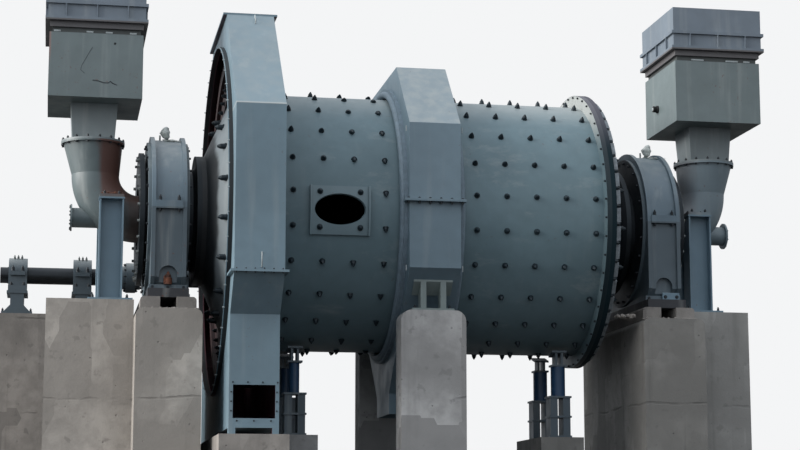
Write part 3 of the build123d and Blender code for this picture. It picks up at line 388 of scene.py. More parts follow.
def shell_rows_tree(form):
    """Rows and columns of fasteners over the shell, with a bare field where the manhole pad lies."""
    inputs = {"Rows": "Int", "Columns": "Int", "First Station": "Float", "Station Step": "Float",
              "First Turn": "Float", "Shell Radius": "Float", "Bare Station": "Float",
              "Bare Half Length": "Float", "Bare Turn": "Float", "Bare Half Turn": "Float"}
    tree, size, outlet = open_tree("shell_rows_of_" + form.name, inputs | COMMON_INPUTS)
    index = add(tree, "GeometryNodeInputIndex").outputs[0]
    column = calc(tree, "FLOOR", calc(tree, "DIVIDE", index, size["Rows"]))
    row = calc(tree, "SUBTRACT", index, times(tree, column, size["Rows"]))
    step = calc(tree, "DIVIDE", 2 * math.pi, size["Rows"])
    turn = calc(tree, "ADD", times(tree, row, step), size["First Turn"])
    station = calc(tree, "ADD", times(tree, column, size["Station Step"]), size["First Station"])
    near = times(tree, calc(tree, "COSINE", turn), -1)
    up = calc(tree, "SINE", turn)
    radius = size["Shell Radius"]
    place = join_point(tree, station, times(tree, near, radius), times(tree, up, radius))
    count = times(tree, size["Rows"], size["Columns"])
    points = add(tree, "GeometryNodePoints", {"Count": count, "Position": place})
    off_station = calc(tree, "ABSOLUTE", calc(tree, "SUBTRACT", station, size["Bare Station"]))
    from_pad = calc(tree, "SUBTRACT", turn, size["Bare Turn"])
    wrapped = calc(tree, "ARCTANGENT", calc(tree, "TANGENT", times(tree, from_pad, 0.5)))
    off_turn = times(tree, calc(tree, "ABSOLUTE", wrapped), 2)
    beside = calc(tree, "LESS_THAN", off_station, size["Bare Half Length"])
    level = calc(tree, "LESS_THAN", off_turn, size["Bare Half Turn"])
    left = add(tree, "GeometryNodeDeleteGeometry", {
        "Geometry": points.outputs[0], "Selection": times(tree, beside, level)})
    standing = join_point(tree, 0, near, up)
    finish_pattern(tree, size, outlet, left.outputs[0], standing, form)
    return tree


def crumbs_tree():
    """Loose lumps strewn over a flat patch, each a rough pebble of its own size."""
    inputs = {"Count": "Int", "Corner": "Vector", "Far Corner": "Vector", "Radius": "Float", "Seed": "Int",
              "Material": "Material"}
    tree, size, outlet = open_tree("strewn_crumbs", inputs)
    spot = add(tree, "FunctionNodeRandomValue", {0: size["Corner"], 1: size["Far Corner"], "Seed": size["Seed"]},
               data_type="FLOAT_VECTOR")
    points = add(tree, "GeometryNodePoints", {"Count": size["Count"], "Position": spot.outputs[0]})
    lump = add(tree, "GeometryNodeMeshIcoSphere", {"Radius": size["Radius"], "Subdivisions": 1})
    girth = add(tree, "FunctionNodeRandomValue", {0: (0.4, 0.4, 0.25), 1: (1.4, 1.1, 0.7), "Seed": size["Seed"]},
                data_type="FLOAT_VECTOR")
    spin = add(tree, "FunctionNodeRandomValue", {0: (0, 0, 0), 1: (0.5, 0.5, 6.2), "Seed": size["Seed"]},
               data_type="FLOAT_VECTOR")
    turn = add(tree, "FunctionNodeEulerToRotation", {"Euler": spin.outputs[0]})
    placed = add(tree, "GeometryNodeInstanceOnPoints", {
        "Points": points.outputs[0], "Instance": lump.outputs["Mesh"], "Rotation": turn.outputs[0],
        "Scale": girth.outputs[0]})
    close_tree(tree, placed.outputs[0], size["Material"], outlet)
    return tree


def plain_mesh(holder):
    """Keep what an object evaluates to as a plain mesh, and remove the object."""
    bpy.context.scene.collection.objects.link(holder)
    bpy.context.view_layer.update()
    mesh = bpy.data.meshes.new_from_object(holder.evaluated_get(bpy.context.evaluated_depsgraph_get()))
    bpy.data.objects.remove(holder)
    return mesh


def grown(tree, **sizes):
    """Run a tree with its named inputs and keep the result as a plain mesh."""
    holder = bpy.data.objects.new("pattern", bpy.data.meshes.new("pattern"))
    modifier = holder.modifiers.new("pattern", "NODES")
    modifier.node_group = tree
    for item in tree.interface.items_tree:
        given = item.name.replace(" ", "_").lower()
        if item.in_out == "INPUT" and given in sizes:
            modifier[item.identifier] = sizes[given]
    return plain_mesh(holder)


TREES = {}


def pattern(kind, form):
    """The tree for a pattern of a form, made once."""
    if (kind, form) not in TREES:
        TREES[kind, form] = kind(form)
    return TREES[kind, form]


def ring(form, material, x, ring_radius, count, radius, height, way=1, lean=0, first=0,
         y=0, z=0, facing=(0, 0, 0)):
    """An even ring of fasteners round the mill axis, or round a line beside it."""
    return grown(pattern(ring_tree, form), count=count, ring_radius=float(ring_radius),
                 first_turn=math.radians(first), turn_step=math.radians(360 / count), lean=float(lean),
                 way=float(way), radius=float(radius), height=float(height),
                 centre=(x, y, z + AXIS_HEIGHT), facing=facing, material=material)


def line(form, material, start, step, count, standing, radius, height):
    """A row of fasteners whose start is given about the mill axis."""
    return grown(pattern(line_tree, form), count=count, start=start, step=step, standing=standing,
                 radius=float(radius), height=float(height), centre=(0, 0, AXIS_HEIGHT),
                 facing=(0, 0, 0), material=material)


def pair(form, material, middle, half_gap, standing, size):
    """Two fasteners along X, one on each side of a middle."""
    start = (middle[0] - half_gap, middle[1], middle[2])
    return line(form, material, start, (2 * half_gap, 0, 0), 2, standing, *size)


def strewn(material, corner, far_corner, count, radius, seed):
    """Loose lumps over a flat patch between two corners about the mill axis."""
    low = (corner[0], corner[1], corner[2] + AXIS_HEIGHT)
    high = (far_corner[0], far_corner[1], far_corner[2] + AXIS_HEIGHT)
    return grown(CRUMBS, count=count, corner=low, far_corner=high, radius=float(radius), seed=seed,
                 material=material)


def piece(name, meshes, body):
    """Join meshes into one piece at the origin, that rides on a body."""
    whole = bmesh.new()
    materials = []
    for mesh in meshes:
        start = len(whole.faces)
        whole.from_mesh(mesh)
        whole.faces.ensure_lookup_table()
        for face in whole.faces[start:]:
            material = mesh.materials[face.material_index]
            if material not in materials:
                materials.append(material)
            face.material_index = materials.index(material)
    joined = bpy.data.meshes.new(name)
    whole.to_mesh(joined)
    whole.free()
    for material in materials:
        joined.materials.append(material)
    made = bpy.data.objects.new(name, joined)
    bpy.context.scene.collection.objects.link(made)
    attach(made, body)


# Small shapes made directly

def rod(points, radius, material):
    """A bent round rod through points about the mill axis."""
    curve = bpy.data.curves.new("rod", "CURVE")
    curve.dimensions = "3D"
    curve.bevel_depth = radius
    curve.bevel_resolution = 2
    curve.use_fill_caps = True
    spline = curve.splines.new("POLY")
    spline.points.add(len(points) - 1)
    for point, place in zip(spline.points, points):
        point.co = (place[0], place[1], place[2] + AXIS_HEIGHT, 1)
    mesh = plain_mesh(bpy.data.objects.new("rod", curve))
    mesh.materials.clear()
    mesh.materials.append(material)
    return mesh


def plate(low, high, material, rounding=0.004):
    """A block between two corners about the mill axis, with its edges eased."""
    work = bmesh.new()
    bmesh.ops.create_cube(work, size=1)
    size = [b - a for a, b in zip(low, high)]
    middle = [(a + b) / 2 for a, b in zip(low, high)]
    middle[2] += AXIS_HEIGHT
    work.transform(Matrix.Translation(middle) @ Matrix.Diagonal((*size, 1)))
    bmesh.ops.bevel(work, geom=work.edges[:], offset=rounding, segments=2, affect="EDGES", profile=0.5)
    return kept(work, "plate", material)


def kept(work, name, material):
    bmesh.ops.recalc_face_normals(work, faces=work.faces[:])
    mesh = bpy.data.meshes.new(name)
    work.to_mesh(mesh)
    work.free()
    mesh.materials.append(material)
    return mesh


def turned_form(profile, middle, material, axis=(0, 0, 1), sides=20):
    """A round form from (radius, height) steps, standing at a point about the mill axis."""
    work = bmesh.new()
    rings = []
    for radius, height in profile:
        rings.append([work.verts.new((radius * math.cos(2 * math.pi * k / sides),
                                      radius * math.sin(2 * math.pi * k / sides), height))
                      for k in range(sides)])
    for lower, upper in zip(rings, rings[1:]):
        for k in range(sides):
            work.faces.new((lower[k], lower[(k + 1) % sides], upper[(k + 1) % sides], upper[k]))
    work.faces.new(rings[0][::-1])
    work.faces.new(rings[-1])
    place = Matrix.Translation((middle[0], middle[1], middle[2] + AXIS_HEIGHT))
    work.transform(place @ Vector((0, 0, 1)).rotation_difference(Vector(axis)).to_matrix().to_4x4())
    return kept(work, "turned", material)


def smooth(mesh, angle=40):
    """Shade a mesh smooth except at its sharp edges."""
    mesh.shade_smooth()
    mesh.set_sharp_from_angle(angle=math.radians(angle))
    return mesh


# Finishes

# Pale dust colour, also used as painted light on the flange faces and along the guard's fold
DUST_AND_PAINTED_LIGHT = linear(168, 172, 170)
RUST = linear(96, 54, 38)
DARK_RUST = linear(62, 42, 36)


def new_finish(name):
    """A new material, its tree, its shader and the place of each point on the piece."""
    material = bpy.data.materials.new(name)
    material.use_nodes = True
    tree = material.node_tree
    place = add(tree, "ShaderNodeTexCoord").outputs["Object"]
    return material, tree, tree.nodes["Principled BSDF"], place


def stretched(tree, place, scale):
    return add(tree, "ShaderNodeMapping", {"Vector": place, "Scale": scale}).outputs[0]


def cloud(tree, place, scale, detail=4.0, roughness=0.55):
    return add(tree, "ShaderNodeTexNoise", {
        "Vector": place, "Scale": scale, "Detail": detail, "Roughness": roughness}).outputs["Fac"]


def between(tree, value, low, high):
    """0 at low, 1 at high and smooth in between."""
    return add(tree, "ShaderNodeMapRange", {"Value": value, "From Min": low, "From Max": high},
               interpolation_type="SMOOTHSTEP").outputs[0]


def graded(tree, value, low, high, first, last):
    """A straight grade from first at low to last at high."""
    return add(tree, "ShaderNodeMapRange", {
        "Value": value, "From Min": low, "From Max": high, "To Min": first, "To Max": last}).outputs[0]


def mixed(tree, share, first, second):
    return add(tree, "ShaderNodeMix", {0: share, 6: first, 7: second}, data_type="RGBA").outputs[2]


def axis_radius(tree, place):
    """How far a point lies from the mill axis."""
    _, y, z = split_point(tree, place)
    height = calc(tree, "SUBTRACT", z, AXIS_HEIGHT)
    return calc(tree, "SQRT", calc(tree, "ADD", times(tree, y, y), times(tree, height, height)))


def facing_up(tree):
    normal = add(tree, "ShaderNodeNewGeometry").outputs["Normal"]
    return split_point(tree, normal)[2]


def rough_skin(tree, shader, height, strength, distance):
    bump = add(tree, "ShaderNodeBump", {"Height": height, "Strength": strength, "Distance": distance})
    tree.links.new(bump.outputs[0], shader.inputs["Normal"])


def paint_colour(tree, place, colour, dust, runs, rust):
    """Aged paint: cloudy tone, dusty runs, dust on what faces up, and specks of rust."""
    broad = between(tree, cloud(tree, place, 0.8, 3), 0.3, 0.7)
    mottle = between(tree, cloud(tree, place, 6.5, 6), 0.35, 0.7)
    body = mixed(tree, broad, shaded(colour, 0.9), shaded(colour, 1.08))
    body = mixed(tree, times(tree, mottle, 0.3), body, shaded(colour, 0.78))
    run = between(tree, cloud(tree, stretched(tree, place, (7, 7, 0.5)), 1.0, 5), 0.52, 0.74)
    body = mixed(tree, times(tree, run, runs), body, DUST_AND_PAINTED_LIGHT)
    lying = between(tree, facing_up(tree), 0.25, 0.95)
    body = mixed(tree, times(tree, lying, calc(tree, "ADD", times(tree, mottle, 0.5), 0.5), dust), body, DUST_AND_PAINTED_LIGHT)
    specks = between(tree, cloud(tree, place, 24, 3), 0.66, 0.71)
    patches = between(tree, cloud(tree, place, 1.3, 2), 0.5, 0.62)
    return mixed(tree, times(tree, specks, patches, rust), body, RUST)


def paint_skin(tree, shader, place, roughness, waves):
    ripple = cloud(tree, place, 1.6, 2)
    grain = cloud(tree, place, 85, 3)
    height = calc(tree, "ADD", times(tree, ripple, waves), times(tree, grain, 0.02))
    rough_skin(tree, shader, height, 0.5, 0.02)
    worn = cloud(tree, place, 4, 5)
    tone = graded(tree, worn, 0.3, 0.7, roughness - 0.07, roughness + 0.1)
    tree.links.new(tone, shader.inputs["Roughness"])


def painted_steel(name, colour, dust=0.5, runs=0.12, rust=0.35, roughness=0.42, waves=0.5):
    material, tree, shader, place = new_finish(name)
    tree.links.new(paint_colour(tree, place, colour, dust, runs, rust), shader.inputs["Base Color"])
    paint_skin(tree, shader, place, roughness, waves)
    return material


def shell_paint(name, colour):
    """The mill shell: paint outside with rubbed scuffs, worn dark steel in the bore."""
    material, tree, shader, place = new_finish(name)
    outside = paint_colour(tree, place, colour, 0.0, 0.05, 0.25)
    warped = add(tree, "ShaderNodeVectorMath", {
        0: stretched(tree, place, (1.2, 3, 3)), 1: add(tree, "ShaderNodeTexNoise", {
            "Vector": place, "Scale": 0.9, "Detail": 2.0}).outputs["Color"]}, operation="ADD").outputs[0]
    scuff = between(tree, cloud(tree, warped, 0.9, 6, 0.7), 0.56, 0.72)
    outside = mixed(tree, times(tree, scuff, 0.22), outside, DUST_AND_PAINTED_LIGHT)
    # Paler where it faces up, more so towards the right end
    paler_to_the_right = graded(tree, split_point(tree, place)[0], -2.2, 2.2, 0.25, 0.6)
    outside = mixed(tree, times(tree, between(tree, facing_up(tree), 0.68, 0.95), paler_to_the_right), outside, DUST_AND_PAINTED_LIGHT)
    outside = rim_shade(tree, place, outside)
    shader.inputs["Specular IOR Level"].default_value = 0.28
    inside = between(tree, axis_radius(tree, place), SHELL_BORE_R + 0.02, SHELL_BORE_R + 0.012)
    tree.links.new(mixed(tree, inside, outside, linear(38, 36, 36)), shader.inputs["Base Color"])
    paint_skin(tree, shader, place, 0.4, 0.35)
    return material


def rim_shade(tree, place, coat):
    """The flanges: dull dark primer on the turned edge, and painted light high up and painted shade low down on
    that edge and on the faces by the shell.
    """
    x, _, z = split_point(tree, place)
    height = calc(tree, "SUBTRACT", z, AXIS_HEIGHT)
    normal = add(tree, "ShaderNodeNewGeometry").outputs["Normal"]
    inward = between(tree, times(tree, split_point(tree, normal)[0], x), -1.2, -1.8)
    # Faces towards the shell: painted light high up, painted shade low down
    face = mixed(tree, between(tree, height, 0.7, 1.5), mixed(tree, 0.35, coat, linear(38, 50, 56)), DUST_AND_PAINTED_LIGHT)
    coat = mixed(tree, inward, coat, face)
    # Turned edge: its dark primer, with painted light high up and painted shade low down
    primer = mixed(tree, between(tree, height, 0.7, 1.5), linear(26, 40, 46), linear(84, 84, 92))
    return mixed(tree, between(tree, axis_radius(tree, place), RIM_R - 0.007, RIM_R - 0.003), coat, primer)


def head_paint(name, colour, grease_and_shade_r, shine):
    """A head: paint on its outer part, and near-black towards the neck: painted shade, partly grease."""
    material, tree, shader, place = new_finish(name)
    coat = paint_colour(tree, place, colour, 0.0, 0.1, 0.4)
    wobble = times(tree, cloud(tree, place, 2.2, 4), 0.2)
    radius = calc(tree, "ADD", axis_radius(tree, place), wobble)
    # Painted shade towards the neck, partly grease
    grease_and_shade = between(tree, radius, grease_and_shade_r + 0.1, grease_and_shade_r)
    coat = mixed(tree, times(tree, grease_and_shade, 0.94), coat, linear(20, 24, 28))
    coat = rim_shade(tree, place, coat)
    shader.inputs["Specular IOR Level"].default_value = shine
    tree.links.new(coat, shader.inputs["Base Color"])
    paint_skin(tree, shader, place, 0.5, 0.5)
    return material


def guard_paint(name, colour):
    """The gear guard: paint outside with a painted highlight along its fold, red primer inside and a dark packing
    strip round the collar.
    """
    material, tree, shader, place = new_finish(name)
    coat = paint_colour(tree, place, colour, 0.35, 0.14, 0.25)
    geometry = add(tree, "ShaderNodeNewGeometry")
    from_middle = add(tree, "ShaderNodeVectorMath", {0: place, 1: (GEAR_X, 0, AXIS_HEIGHT)}, operation="SUBTRACT")
    outward = add(tree, "ShaderNodeVectorMath", {0: geometry.outputs["Normal"], 1: from_middle.outputs[0]},
                  operation="DOT_PRODUCT").outputs["Value"]
    inside = calc(tree, "LESS_THAN", outward, 0)
    primer = mixed(tree, between(tree, cloud(tree, place, 3, 5), 0.3, 0.7), linear(62, 46, 54), linear(88, 44, 52))
    x, _, z = split_point(tree, place)
    # Painted highlight: a thin pale line along the fold of the slope
    off_fold = calc(tree, "ABSOLUTE", calc(tree, "SUBTRACT", z, AXIS_HEIGHT + GUARD_CORNER + 0.006))
    coat = mixed(tree, times(tree, between(tree, off_fold, 0.016, 0.008), 0.6), coat, DUST_AND_PAINTED_LIGHT)
    coat = mixed(tree, inside, coat, primer)
    radius = axis_radius(tree, place)
    strip = times(tree, between(tree, x, GUARD_COLLAR_X + 0.009, GUARD_COLLAR_X + 0.011),
                  between(tree, x, -GUARD_HALF_WIDTH + GEAR_X - 0.001, -GUARD_HALF_WIDTH + GEAR_X - 0.002),
                  between(tree, radius, GUARD_COLLAR_R + 0.01, GUARD_COLLAR_R + 0.005))
    tree.links.new(mixed(tree, strip, coat, linear(26, 30, 33)), shader.inputs["Base Color"])
    paint_skin(tree, shader, place, 0.42, 0.7)
    return material


def hopper_coat(name, colour, recess_shade_tone, recess_shade_z, upward):
    """Hopper or bin paint, with painted shade of the recess between hopper and bin above or below a level about
    the mill axis.

    The left hopper also has a pale rusty streak down the outer edge of its front.
    """
    material, tree, shader, place = new_finish(name)
    coat = paint_colour(tree, place, colour, 0.6, 0.2, 0.5)
    level = AXIS_HEIGHT + recess_shade_z
    soft = 0.003 * upward
    x, y, z = split_point(tree, place)
    outer = between(tree, x, 0.03 - FEED_X - HOPPER_HALF_LENGTH, 0.015 - FEED_X - HOPPER_HALF_LENGTH)
    top = AXIS_HEIGHT + HOPPER_TOP_Z
    streak = times(tree, outer, between(tree, y, 0.01 - HOPPER_HALF_DEPTH, 0.005 - HOPPER_HALF_DEPTH),
                   between(tree, z, top - 0.45, top - 0.2), between(tree, z, top + 0.004, top), 0.6)
    coat = mixed(tree, streak, coat, linear(146, 112, 104))
    # Painted shade in the recess between hopper and bin
    collar = between(tree, z, level - soft, level + soft)
    tree.links.new(mixed(tree, times(tree, collar, 0.85), coat, recess_shade_tone), shader.inputs["Base Color"])
    paint_skin(tree, shader, place, 0.42, 0.9)
    return material


def seal_paint(name, colour):
    """A bearing seal: paint on the outer ring, and near-black on the one towards the drum: painted shade, partly
    grease.
    """
    material, tree, shader, place = new_finish(name)
    coat = paint_colour(tree, place, colour, 0.3, 0.25, 0.8)
    inner = between(tree, calc(tree, "ABSOLUTE", split_point(tree, place)[0]), BEARING_X, BEARING_X - 0.1)
    face = between(tree, axis_radius(tree, place), 0.985, 0.96)
    # Painted shade, partly grease, on the seal towards the drum
    coat = mixed(tree, times(tree, inner, face, 0.9), coat, linear(18, 23, 29))
    tree.links.new(coat, shader.inputs["Base Color"])
    paint_skin(tree, shader, place, 0.55, 0.5)
    return material


def chute_paint(name, colour, side):
    """A feed chute: paint, a dark greasy nose and a broad rust run down its inner side."""
    material, tree, shader, place = new_finish(name)
    coat = paint_colour(tree, place, colour, 0.4, 0.25, 0.5)
    x, _, z = split_point(tree, place)
    inner = times(tree, x, side)
    wobble = times(tree, cloud(tree, stretched(tree, place, (4, 4, 0.9)), 1.0, 5), 0.24)
    inner = calc(tree, "ADD", inner, wobble)
    run = between(tree, inner, 4.16, 4.07) if side < 0 else between(tree, inner, 4.02, 3.9)
    high = between(tree, z, AXIS_HEIGHT + 0.1, AXIS_HEIGHT + 0.3)
    amount = 0.85 if side < 0 else 0.25
    coat = mixed(tree, times(tree, run, high, amount), coat, linear(94, 57, 45))
    nose = between(tree, inner, 3.86, 3.7)
    coat = mixed(tree, times(tree, nose, 0.8), coat, DARK_RUST)
    tree.links.new(coat, shader.inputs["Base Color"])
    paint_skin(tree, shader, place, 0.45, 0.5)
    return material


def bare_steel(name, colour, roughness=0.35, grooves=(60, 4, 4)):
    """Machined steel with turning marks and a film of oil."""
    material, tree, shader, place = new_finish(name)
    marks = cloud(tree, stretched(tree, place, grooves), 1.0, 3)
    stain = between(tree, cloud(tree, place, 2.5, 5), 0.35, 0.7)
    body = mixed(tree, stain, shaded(colour, 0.7), shaded(colour, 1.15))
    tree.links.new(mixed(tree, times(tree, marks, 0.3), body, shaded(colour, 0.5)), shader.inputs["Base Color"])
    shader.inputs["Metallic"].default_value = 0.7
    tone = graded(tree, stain, 0, 1, roughness - 0.08, roughness + 0.12)
    tree.links.new(tone, shader.inputs["Roughness"])
    rough_skin(tree, shader, marks, 0.25, 0.002)
    return material


def plain_coat(name, colour, roughness, grain=30.0, contrast=0.25, depth=0.003, metal=0.0):
    """A small part's coat, with a fine uneven tone."""
    material, tree, shader, place = new_finish(name)
    fine = between(tree, cloud(tree, place, grain, 4), 0.3, 0.72)
    body = mixed(tree, fine, shaded(colour, 1 - contrast), shaded(colour, 1 + contrast))
    tree.links.new(body, shader.inputs["Base Color"])
    shader.inputs["Roughness"].default_value = roughness
    shader.inputs["Metallic"].default_value = metal
    rough_skin(tree, shader, fine, 0.4, depth)
    return material


def rusty_iron(name):
    material, tree, shader, place = new_finish(name)
    broad = between(tree, cloud(tree, place, 9, 5), 0.3, 0.7)
    fine = cloud(tree, place, 55, 5, 0.7)
    body = mixed(tree, broad, DARK_RUST, linear(128, 76, 52))
    tree.links.new(mixed(tree, times(tree, fine, 0.5), body, linear(70, 46, 38)), shader.inputs["Base Color"])
    shader.inputs["Roughness"].default_value = 0.85
    rough_skin(tree, shader, fine, 0.6, 0.004)
    return material


def cast_concrete(name, colour, damp=0.5, patch=0.5):
    """Site concrete: sheet marks, grey patches, dark runs, bug holes and pour lines."""
    material, tree, shader, place = new_finish(name)
    broad = between(tree, cloud(tree, place, 0.75, 5), 0.35, 0.66)
    body = mixed(tree, broad, shaded(colour, 0.68), shaded(colour, 1.2))
    sheets = add(tree, "ShaderNodeTexVoronoi", {
        "Vector": stretched(tree, place, (2.6, 2.6, 1.3)), "Scale": 1.0, "Randomness": 0.75},
        distance="CHEBYCHEV")
    tone = split_point(tree, sheets.outputs["Color"])[0]
    body = mixed(tree, times(tree, between(tree, tone, 0.45, 0.6), patch), body, shaded(colour, 0.66))
    mottle = between(tree, cloud(tree, place, 4.5, 8, 0.62), 0.38, 0.66)
    body = mixed(tree, times(tree, mottle, 0.5), body, shaded(colour, 0.62))
    blot = between(tree, cloud(tree, place, 6.5, 3), 0.62, 0.7)
    body = mixed(tree, times(tree, blot, 0.55), body, shaded(colour, 0.5))
    run = between(tree, cloud(tree, stretched(tree, place, (5, 5, 0.35)), 1.0, 6, 0.6), 0.55, 0.72)
    body = mixed(tree, times(tree, run, damp), body, shaded(colour, 0.5))
    z = split_point(tree, place)[2]
    wavy = calc(tree, "ADD", z, times(tree, cloud(tree, place, 1.5, 4), 0.12))
    pour = calc(tree, "FRACT", calc(tree, "DIVIDE", wavy, 1.28))
    off_seam = calc(tree, "ABSOLUTE", calc(tree, "SUBTRACT", pour, 0.5))
    broken = between(tree, cloud(tree, place, 2.4, 3), 0.42, 0.6)
    seam = times(tree, between(tree, off_seam, 0.016, 0.004), broken)
    body = mixed(tree, times(tree, seam, 0.6), body, shaded(colour, 0.45))
    holes = add(tree, "ShaderNodeTexVoronoi", {"Vector": place, "Scale": 9.0, "Randomness": 1.0})
    rare = between(tree, cloud(tree, place, 3.1, 2), 0.52, 0.6)
    pit = times(tree, between(tree, holes.outputs["Distance"], 0.13, 0.06), rare)
    body = mixed(tree, times(tree, pit, 0.75), body, shaded(colour, 0.35))
    tree.links.new(body, shader.inputs["Base Color"])
    shader.inputs["Roughness"].default_value = 0.88
    grain = cloud(tree, place, 38, 8, 0.65)
    height = calc(tree, "SUBTRACT", calc(tree, "ADD", times(tree, grain, 0.35), times(tree, broad, 1.2)),
                  calc(tree, "ADD", times(tree, pit, 0.9), times(tree, seam, 0.6)))
    rough_skin(tree, shader, height, 0.55, 0.015)
    return material


MILL_PAINT = shell_paint("mill_paint", linear(101, 122, 130))
FRAME_PAINT = painted_steel("manhole_paint", linear(108, 128, 136), dust=0.0, runs=0.05)
HEAD_PAINT = head_paint("head_paint", linear(116, 125, 130), 1.14, 0.4)
# The right head is a darker copy of the head paint, dark almost to its rim: painted shade on the head turned from
# the lamp
SHADED_RIGHT_HEAD_PAINT = head_paint("right_head_paint", linear(48, 56, 62), 1.75, 0.05)
GUARD_PAINT = guard_paint("guard_paint", linear(106, 128, 140))
HOOD_PAINT = painted_steel("hood_paint", linear(106, 126, 138), dust=0.7, runs=0.1)
# The lower hood is a darker copy of the hood paint: painted shade
SHADED_HOOD_LOW_PAINT = painted_steel("hood_low_paint", linear(96, 116, 128), dust=0.5, runs=0.1)
BEARING_PAINT = painted_steel("bearing_paint", linear(92, 110, 122), dust=0.4, runs=0.2, rust=0.6)
HOUSING_PAINT = painted_steel("housing_paint", linear(78, 92, 101), dust=0.4, runs=0.25, rust=0.6)
STAND_PAINT = painted_steel("stand_paint", linear(104, 128, 143), dust=0.5, runs=0.12, rust=0.4)
# The last colour and level of the hopper and bin paints give the painted shade of the recess between them
HOPPER_PAINT = hopper_coat("hopper_paint", linear(104, 116, 118), linear(48, 50, 48), HOPPER_TOP_Z + 0.002, 1)
SPOUT_PAINT = painted_steel("spout_paint", linear(124, 134, 137), dust=0.4, runs=0.3, rust=0.4, waves=0.9)
RIGHT_SPOUT_PAINT = painted_steel("right_spout_paint", linear(115, 125, 128), dust=0.4, runs=0.3, rust=0.4,
                                  waves=0.9)
BIN_PAINT = hopper_coat("bin_paint", linear(106, 117, 128), linear(84, 79, 78), 2.415, -1)
LEFT_CHUTE_PAINT = chute_paint("left_chute_paint", linear(92, 104, 107), -1)
RIGHT_CHUTE_PAINT = chute_paint("right_chute_paint", linear(112, 127, 135), 1)
FRAME_STEEL = painted_steel("frame_paint", linear(112, 124, 124), dust=0.4, runs=0.15, rust=0.5)
SEAL_PAINT = seal_paint("seal_paint", linear(84, 98, 106))
SOLE_PAINT = painted_steel("sole_paint", linear(48, 50, 55), dust=0.5, runs=0.25, rust=0.9, roughness=0.6)
DRIVE_PAINT = painted_steel("drive_paint", linear(70, 82, 90), dust=0.4, runs=0.1, rust=0.4)
JACK_PAINT = painted_steel("jack_paint", linear(34, 66, 98), dust=0.2, runs=0.25, rust=0.4)
JACK_STAND_PAINT = painted_steel("jack_stand_paint", linear(70, 84, 94), dust=0.3, runs=0.2)
PACKING = plain_coat("packing", linear(107, 124, 136), 0.62, 14.0, 0.12)
GEAR_PRIMER = plain_coat("gear_primer", linear(46, 27, 30), 0.6, 8.0, 0.3)
TRUNNION_STEEL = bare_steel("trunnion_steel", linear(46, 52, 57), 0.48)
SHAFT_STEEL = bare_steel("shaft_steel", linear(58, 62, 66), 0.38)
CAP_BLACK = plain_coat("cap_black", linear(24, 38, 46), 0.45, 40.0, 0.35, metal=0.2)
BOLT_DARK = plain_coat("bolt_dark", linear(34, 40, 46), 0.5, 50.0, 0.3, metal=0.3)
BOLT_GREY = plain_coat("bolt_grey", linear(120, 126, 126), 0.45, 50.0, 0.25, metal=0.4)
TAB_LIGHT = plain_coat("tab_light", linear(158, 166, 168), 0.5, 30.0, 0.15)
LOCK_LIGHT = plain_coat("lock_light", linear(124, 132, 138), 0.55, 20.0, 0.25)
RUSTY = rusty_iron("rusty_iron")
FILM = plain_coat("wrapping_film", linear(208, 214, 211), 0.3, 12.0, 0.18, depth=0.01)
HOLE_DARK = plain_coat("dark_hole", linear(14, 16, 18), 0.8, 30.0, 0.2)
SCRATCH_DARK = plain_coat("scratched_metal", linear(50, 56, 60), 0.7, 30.0, 0.2)
LEFT_CONCRETE = cast_concrete("left_concrete", linear(172, 166, 159), damp=0.4, patch=0.7)
MIDDLE_CONCRETE = cast_concrete("middle_concrete", linear(162, 162, 162), damp=0.35, patch=0.9)
RIGHT_CONCRETE = cast_concrete("right_concrete", linear(132, 131, 128), damp=0.95, patch=0.6)
RIGHT_END_CONCRETE = cast_concrete("right_end_concrete", linear(165, 164, 161), damp=0.6, patch=0.6)
DRIVE_CONCRETE = cast_concrete("drive_concrete", linear(141, 136, 131), damp=0.45, patch=0.7)
GROUT = cast_concrete("grout", linear(138, 134, 130), damp=0.1, patch=0.1)
CRUMBS = crumbs_tree()

ALIKE_AT_BOTH_ENDS = {
    "trunnion": TRUNNION_STEEL, "bearing_housing": HOUSING_PAINT, "bearing_cap": BEARING_PAINT,
    "bearing_seals": SEAL_PAINT, "sole_plate": SOLE_PAINT, "grout_blocks": GROUT, "feed_hopper": HOPPER_PAINT,
    "upper_bin": BIN_PAINT, "chute_stands": STAND_PAINT,
}
FINISHES = {
    "shell": MILL_PAINT, "manhole_frame": FRAME_PAINT, "left_head": HEAD_PAINT, "right_head": SHADED_RIGHT_HEAD_PAINT,
    "girth_gear": GEAR_PRIMER, "pinion": SHAFT_STEEL, "drive_shaft": SHAFT_STEEL, "shaft_coupling": DRIVE_PAINT,
    "shaft_bearings": DRIVE_PAINT, "pinion_bearings": DRIVE_PAINT, "drive_bearing_stands": DRIVE_PAINT,
    "gear_guard_near": GUARD_PAINT, "gear_guard_far": GUARD_PAINT, "gear_guard_top": GUARD_PAINT,
    "gear_guard_lower": GUARD_PAINT, "discharge_hood_upper": HOOD_PAINT, "discharge_hood_lower": SHADED_HOOD_LOW_PAINT,
    "hood_packing_rings": PACKING, "hood_frames": FRAME_STEEL, "jack_stands": JACK_STAND_PAINT,
    "jack_cylinders": JACK_PAINT, "jack_saddles": JACK_STAND_PAINT,
    "left_feed_chute": LEFT_CHUTE_PAINT, "right_feed_chute": RIGHT_CHUTE_PAINT,
    "left_feed_spout": SPOUT_PAINT, "right_feed_spout": RIGHT_SPOUT_PAINT,
    "left_bearing_pier": LEFT_CONCRETE, "left_feed_pedestal": LEFT_CONCRETE, "drive_pedestal": DRIVE_CONCRETE,
    "pinion_piers": DRIVE_CONCRETE, "guard_wall": DRIVE_CONCRETE, "left_jack_wall": MIDDLE_CONCRETE,
    "middle_foundation": MIDDLE_CONCRETE, "right_jack_wall": RIGHT_CONCRETE,
    "right_bearing_pier": RIGHT_CONCRETE, "right_feed_pedestal": RIGHT_END_CONCRETE,
}
